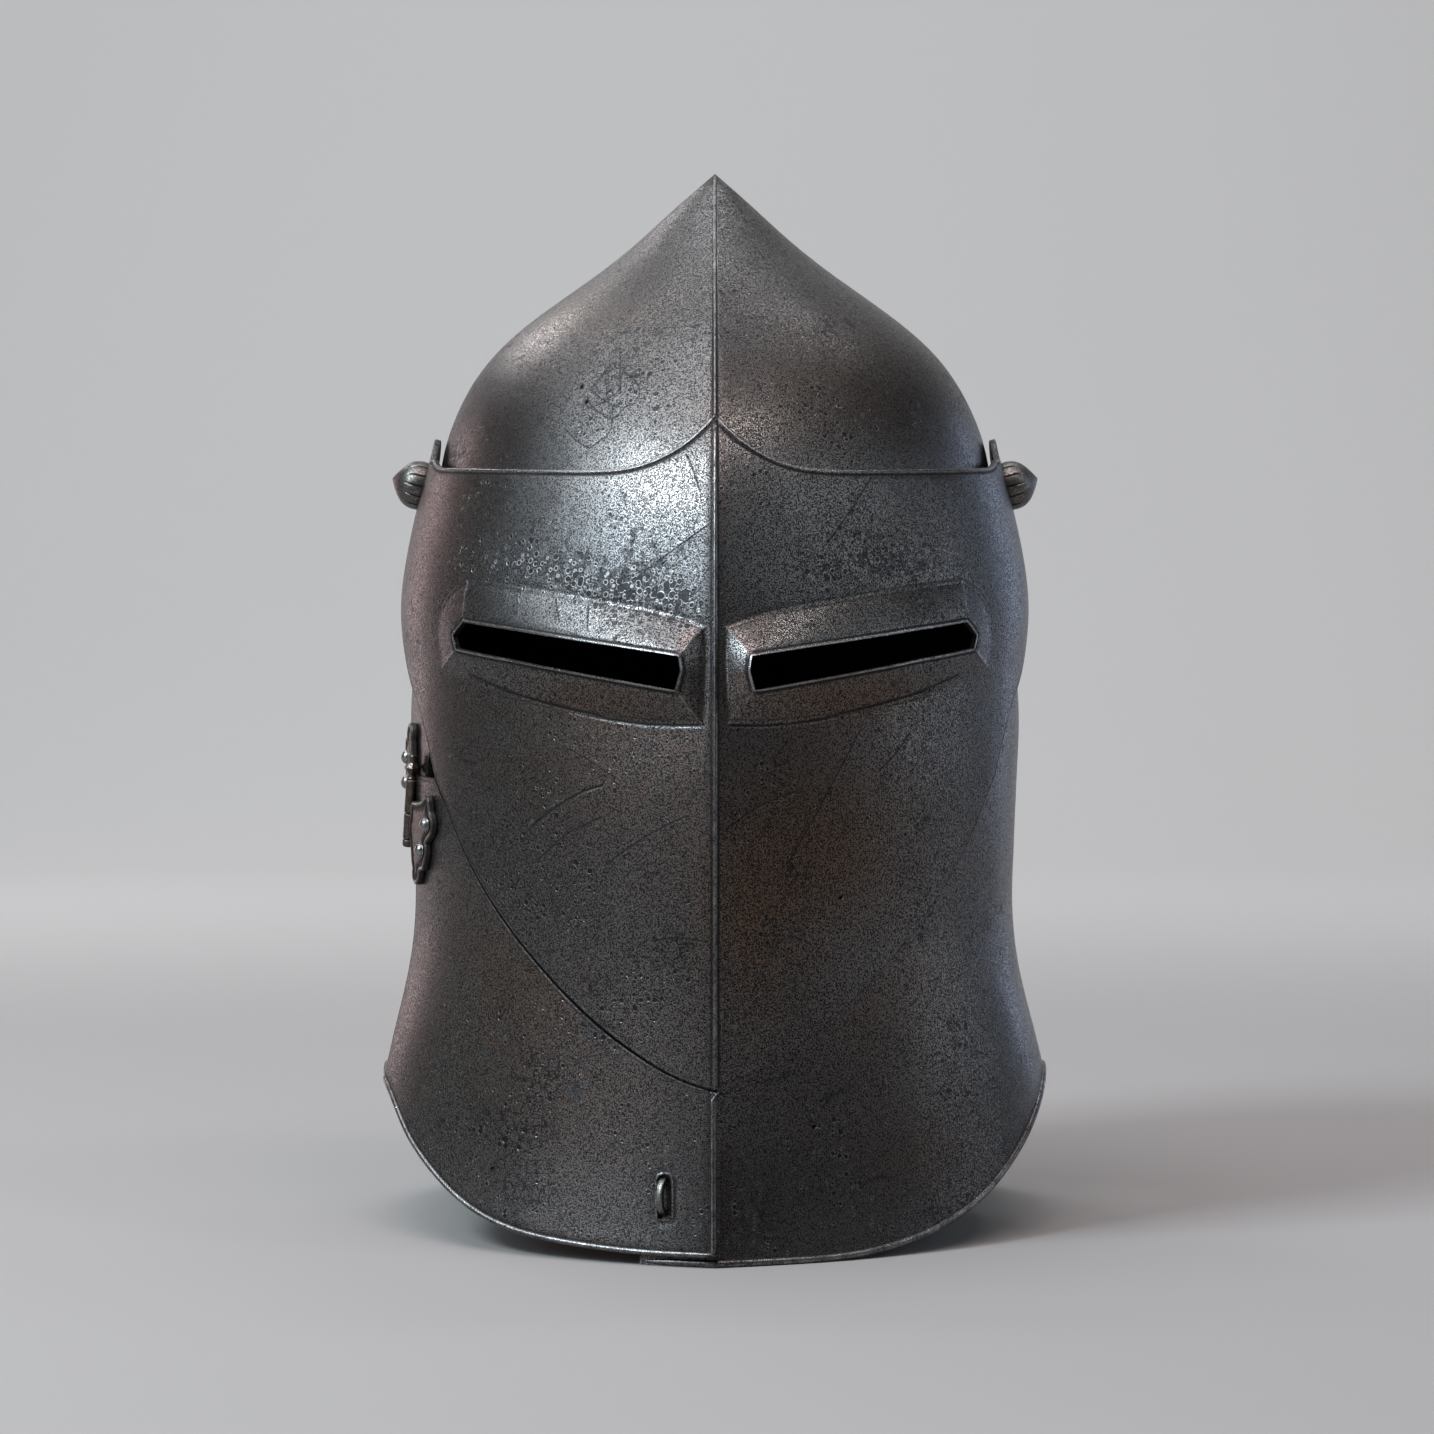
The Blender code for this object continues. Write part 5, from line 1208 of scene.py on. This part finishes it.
# The throat door, with a rolled border along its free edge and its rim
def makeDoor():
    edge = visorLowerEdge()
    seam = skullWall.nearest(visorWall.off(edge, -visor["thickness"] / 2))
    way = unit(np.gradient(seam, axis=0))
    seam = mirrored(seam + np.column_stack([-way[:, 1], way[:, 0]]) * door["seamGap"])
    seam = seam[seam[:, 0] < 0]
    upwards = np.linspace(doorRim[0][1], seam[0, 1] - 0.6, 25)
    free = skullWall.fromFront([(door["freeEdge"], z) for z in upwards])
    top = np.array([[free[0, 0], seam[0, 1]]])
    rear = doorBackEdge(door["top"] - hinge["point"][2], 0.0)[::-1]
    corner = np.array([[-around * np.pi / 2, rimLevel + 2.5]])
    rim = smoothLine(np.vstack([corner, mirrored(rimLine(doorRim))]), 2.5)
    rim[:, 1] = np.maximum(rim[:, 1], doorRim[0][1])
    rear, rim = meet(rear, rim)
    outline = join(free, top, seam, rear, rim)
    slot = straightLine(skullWall.fromFront(doorSlot), 1.2, True)
    keel = upMiddle(np.arange(2.0, seam[0, 1] + 1.5, 2.5))
    border = join(rim, free)
    reliefs = [(slot, True, slotProfile), (border, False, borderProfile),
               (join(seam, rear), False, edgeProfile)] + pits(skullWall, doorPits)
    piece = platePiece("throatDoor", skullWall, outline, [slot], [keel], reliefs, door,
                       door["gap"] + door["thickness"], plateSteel, spots=lowerSpots)
    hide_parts("throat_door")
    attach(piece, "door_body")
    path = beside(border, door["rollRadius"] - 0.1)
    roll = rolled("doorBorder", skullWall.off(path, door["gap"] + 1.5), door["rollRadius"], rollSteel, 2.0)
    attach(roll, "door_body")


# The hinge: two lobed leaves, each riveted on, their barrels, and a pin with a finial
def makeLeaf(name, node, body, side, rise, barrel):
    lobes = [arc(lobe[:2], lobe[2], lobe[3], lobe[4], 26) for lobe in leafLobes]
    neck, foot = (rearNeck, rearFoot) if side > 0 else (frontNeck, frontFoot)
    outline = straightLine(onLeaf(join(np.array(neck), *lobes, np.array(foot)), side), 0.9, True)
    size = {"thickness": hinge["leafThickness"], "spacing": 0.9, "innerSpacing": 2.5}
    piece = platePiece(name, skullWall, outline, [], [], [(outline, True, leafProfile)], size,
                       rise + hinge["leafThickness"], fittingSteel, sharp=50)
    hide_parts(node)
    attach(piece, body)
    low, high = barrel
    profile = ((low, 0.0), (low, 1.3), (low, 1.9), (low + 0.3, 2.2), ((low + high) / 2, 2.12),
               (high - 0.3, 2.2), (high, 1.9), (high, 1.3), (high, 0.0))
    rings = turnedRings(hingePlace(0.0), hingeWay, profile, 36)
    barrelPiece = several(name + "Barrel", [ringSkin(rings)], fittingSteel)
    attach(barrelPiece, body)


# The pin from its collar up: distance along the hinge line, radius. The bead has eight sides.
pinParts = (((-12.5, 0.0), (-12.5, 1.7), (-12.0, 2.15), (-9.9, 2.15), (-9.8, 1.0), (12.6, 1.0), (12.7, 0.0)),
            ((12.6, 0.0), (12.6, 1.9), (13.2, 1.9), (13.4, 1.55), (14.4, 1.5), (14.4, 0.0)),
            ((18.8, 0.0), (18.8, 1.6), (21.4, 1.6), (21.8, 1.2), (21.8, 0.0)))
pinBead = ((14.2, 0.0), (14.2, 1.3), (16.5, 3.0), (17.1, 3.0), (19.1, 1.3), (19.1, 0.0))


def makePin():
    parts = [ringSkin(turnedRings(hingePlace(0.0), hingeWay, bevelled(p, 0.2), 28)) for p in pinParts]
    parts.append(ringSkin(turnedRings(hingePlace(0.0), hingeWay, bevelled(pinBead, 0.12), 8)))
    piece = several("hingePin", parts, fittingSteel, 24)
    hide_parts("hinge_pin")
    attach(piece, "shell")


def makeRivets(name, nodes, body, side, rise):
    foot = onLeaf(leafRivets, side)
    out = skullWall.off(foot, 1.0) - skullWall.off(foot, 0.0)
    sizes = {label.capitalize(): size * mm for label, size in rivet.items()}
    piece = grown(name, domeRivets, skullWall.off(foot, rise - 0.1), [], {**sizes, "Finish": rivetSteel}, out)
    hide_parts(*nodes)
    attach(piece, body)


# The staple that stands in the door's slot
def makeStaple():
    foot = skullWall.fromFront([(staple["x"], staple["z"])])
    base = skullWall.off(foot, 0.0)[0]
    out = skullWall.off(foot, 1.0)[0] - base
    up = skullWall.off(foot + np.array([[0.0, 1.0]]), 0.0)[0] - base
    up = unit(up - out * (up @ out))
    across = np.cross(up, out)
    across = -across if across[0] > 0 else across
    lean = math.radians(staple["lean"])
    out, across = (out * math.cos(lean) + across * math.sin(lean),
                   across * math.cos(lean) - out * math.sin(lean))
    half, foot, shoulder = [staple[label] for label in ("half", "foot", "shoulder")]
    bow = [(half * np.cos(t), shoulder + (staple["rise"] - shoulder) * np.sin(t))
           for t in np.radians(np.linspace(180, 0, 29))]
    line = np.array([(-half, foot)] + bow + [(half, foot)])
    way = np.gradient(line, axis=0)
    way[0], way[-1] = (0, 1), (0, -1)
    section = arc((0, 0), 1.0, 0, 360, 25)[:-1]
    section = np.sign(section) * np.abs(section) ** 0.45        # a square bar with rounded corners
    rings = []
    for (along, rise), (wx, wy) in zip(line, unit(way)):
        centre = base + along * up + rise * out
        thick = (-wy * up + wx * out) * staple["bar"] / 2
        wide = across * staple["width"] / 2
        rings.append(np.array([centre + thick * a - wide * b for a, b in section]))
    rings = [rings[0].mean(axis=0)] + rings + [rings[-1].mean(axis=0)]
    piece = several("stapleLoop", [ringSkin(rings)], boltSteel, 50)
    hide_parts("staple")
    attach(piece, "shell")


# A pivot bolt: washer inside, shank, and a fluted acorn head outside, each with its radii
washer = ((96.8, 0.0), (96.8, 5.0), (97.2, 5.5), (98.1, 5.5), (98.3, 5.2), (98.3, bolt["shank"]))
acorn = ((-1.9, 7.6), (-1.8, 8.4), (-1.4, 8.75), (0.2, 8.95), (1.6, 9.0), (2.6, 8.9), (3.6, 8.7),
         (4.6, 8.35), (5.6, 7.8), (6.6, 7.05), (7.5, 6.15), (8.4, 5.05), (9.1, 4.05), (9.8, 2.95),
         (10.35, 2.0), (10.8, 1.15), (11.15, 0.55), (11.3, 0.0))


def makeBolt(name, node, side):
    tilt = math.radians(bolt["tilt"])
    headAxis = np.array((side * math.cos(tilt), 0, math.sin(tilt)))
    middle = np.array((0.0, bolt["y"], bolt["z"]))
    rings = turnedRings(middle, (side, 0, 0), washer, bolt["sides"])
    surface = visorWall.fromSide([(bolt["y"], bolt["z"])], side)
    reach = visorWall.off(surface, 0.0)[0][0]
    base = np.array((reach, bolt["y"], bolt["z"])) + bolt["seat"] * headAxis

    def flute(along):
        return bolt["fluteDepth"] * min(1.0, max(0.0, (bolt["fluteTop"] - along) / bolt["fluteFade"]))

    rings.append(ringPoints(base + acorn[0][0] * headAxis, headAxis, bolt["shank"], bolt["sides"]))
    rings += turnedRings(base, headAxis, acorn, bolt["sides"], flute)
    piece = several(name, [ringSkin(rings)], boltSteel, 60)
    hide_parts(node)
    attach(piece, "visor_body")


makeSkull()
makeVisor()
makeDoor()
makeLeaf("hingeLeafRear", "hinge_leaf_rear", "shell", 1, hinge["rearRise"], hinge["rearKnuckle"])
makeLeaf("hingeLeafFront", "hinge_leaf_front", "door_body", -1, hinge["frontRise"], hinge["frontKnuckle"])
makePin()
makeRivets("rearRivets", ("leaf_rivet_rear_1", "leaf_rivet_rear_2"), "shell", 1,
           hinge["rearRise"] + hinge["leafThickness"])
makeRivets("frontRivets", ("leaf_rivet_front_1", "leaf_rivet_front_2"), "door_body", -1,
           hinge["frontRise"] + hinge["leafThickness"])
makeStaple()
makeBolt("pivotBoltLeft", "pivot_bolt_left", 1)
makeBolt("pivotBoltRight", "pivot_bolt_right", -1)
print("pieces made")

# Floor and backdrop in one pale sweep, lights and camera
# the floor's pale colour is darker than the wall's, as painted shade on the floor
studio = {"pale": (0.262, 0.252, 0.248), "depth": 2.8, "wide": 3.6, "ahead": 3.0, "high": 3.4,
          "bend": 1.3, "sky": (0.066, 0.06, 0.056), "wall": (0.43, 0.42, 0.416),
          "wallFrom": 0.5, "wallTo": 1.5, "beyond": (0.47, 0.462, 0.466)}
eye = {"place": (0.0, -1.79753, 0.27787), "target": (0.0, 0.0, 0.18366), "lens": 122.8, "shift": 0.0014}

# Soft boxes: place, what they aim at, width and height, watts, colour
softBoxes = {
    "keyHigh": ((-1.25, -0.93, 1.58), (0.0, 0.0, 0.27), (0.55, 0.5), 41.0, (0.82, 0.94, 1.0)),
    "keyLow": ((-1.4, -1.1, 1.0), (0.0, 0.0, 0.27), (0.8, 0.6), 9.5, (0.62, 0.84, 1.0)),
    "streak": ((-0.75, 1.2, 1.2), (0.0, 0.0, 0.33), (0.3, 0.3), 2.7, (1.0, 0.97, 0.97)),
    "glintRight": ((0.96, -0.47, 1.89), (0.0, 0.0, 0.28), (0.25, 0.25), 3.0, (1.0, 0.97, 0.93)),
    "fillRight": ((1.5, -0.7, 1.15), (0.0, 0.0, 0.25), (1.0, 1.0), 3.4, (0.8, 0.93, 1.0)),
    "overLeft": ((-0.8, 0.0, 2.4), (-0.1, 0.1, 0.0), (1.2, 2.0), 22.0, (0.88, 0.95, 1.0)),
    "overFront": ((0.0, -0.9, 2.2), (0.0, 0.1, 0.0), (1.6, 0.8), 25.0, (1.0, 0.83, 0.82)),
    "rimLeft": ((-1.1, 1.1, 0.4), (0.0, 0.0, 0.2), (0.3, 0.7), 2.2, (1.0, 0.74, 0.74)),
    "rimRight": ((1.1, 1.1, 0.4), (0.0, 0.0, 0.2), (0.3, 0.7), 1.5, (0.55, 0.7, 1.0)),
    "lowLeft": ((-1.7, 0.0, 0.45), (0.0, 0.0, 0.2), (1.0, 0.8), 0.8, (0.95, 1.0, 0.93)),
    "lowRight": ((1.7, 0.0, 0.45), (0.0, 0.0, 0.2), (1.0, 0.8), 3.0, (0.75, 0.86, 1.0)),
    "frontLeft": ((-1.4, -1.2, 0.4), (0.0, 0.0, 0.2), (0.8, 0.7), 1.6, (1.0, 0.72, 0.55)),
    "backdrop": ((0.0, 1.2, 2.6), (0.0, 2.6, 0.9), (3.0, 0.6), 46.0, (0.95, 0.98, 1.0)),
}


def makeSweep():
    material = bpy.data.materials.new("paleSweep")
    material.use_nodes = True
    tree = material.node_tree
    vector = addNode(tree, "ShaderNodeTexCoord").outputs["Object"]
    darker, paler = [(*[c * share for c in studio["pale"]], 1) for share in (0.985, 1.015)]
    colour = blendColour(tree, noiseField(tree, vector, 2.0, 2.0), darker, paler)
    # Painted shade: the floor keeps a darker colour than the wall behind it, blended along Y from wallFrom to
    # wallTo.
    back = addNode(tree, "ShaderNodeSeparateXYZ", i0=vector).outputs["Y"]
    back = smoothStep(tree, back, studio["wallFrom"], studio["wallTo"])
    shader = tree.nodes["Principled BSDF"]
    tree.links.new(blendColour(tree, back, colour, (*studio["wall"], 1)), shader.inputs["Base Color"])
    shader.inputs["Roughness"].default_value = 0.9
    bend, depth = studio["bend"], studio["depth"]
    line = [(-studio["ahead"], 0.0), (depth - bend, 0.0)]
    line += [(depth - bend + bend * math.sin(t), bend - bend * math.cos(t))
             for t in np.radians(np.linspace(3, 90, 30))]
    line.append((depth, studio["high"]))
    verts = [(x, y, z) for y, z in line for x in (-studio["wide"], studio["wide"])]
    polys = [(2 * i, 2 * i + 1, 2 * i + 3, 2 * i + 2) for i in range(len(line) - 1)]
    mesh = bpy.data.meshes.new("sweep")
    mesh.from_pydata(verts, [], polys)
    mesh.materials.append(material)
    mesh.shade_smooth()
    sweep = bpy.data.objects.new("sweep", mesh)
    bpy.context.scene.collection.objects.link(sweep)


def addLooking(name, data, place, target):      # a lamp or camera turned towards its target
    obj = bpy.data.objects.new(name, data)
    obj.location = place
    obj.rotation_euler = (Vector(target) - Vector(place)).to_track_quat("-Z", "Y").to_euler()
    bpy.context.scene.collection.objects.link(obj)
    return obj


def makeStudio():
    makeSweep()
    world = bpy.data.worlds.new("room")
    world.use_nodes = True
    tree = world.node_tree
    seen = addNode(tree, "ShaderNodeLightPath").outputs["Is Camera Ray"]     # pale past the sweep's edge
    tree.links.new(blendColour(tree, seen, (*studio["sky"], 1), (*studio["beyond"], 1)),
                   tree.nodes["Background"].inputs["Color"])
    bpy.context.scene.world = world
    for name, (place, target, size, power, colour) in softBoxes.items():
        lamp = bpy.data.lights.new(name, "AREA")
        lamp.shape = "RECTANGLE"
        lamp.size, lamp.size_y = size
        lamp.energy = power
        lamp.color = colour
        addLooking(name, lamp, place, target)


def makeCamera():
    camera = bpy.data.cameras.new("camera")
    camera.sensor_width = 36.0
    camera.lens = eye["lens"]
    camera.shift_x = eye["shift"]
    camera.clip_start = 0.05
    bpy.context.scene.camera = addLooking("camera", camera, eye["place"], eye["target"])


makeStudio()
makeCamera()
bpy.context.scene.view_settings.view_transform = "Standard"
print("studio made")
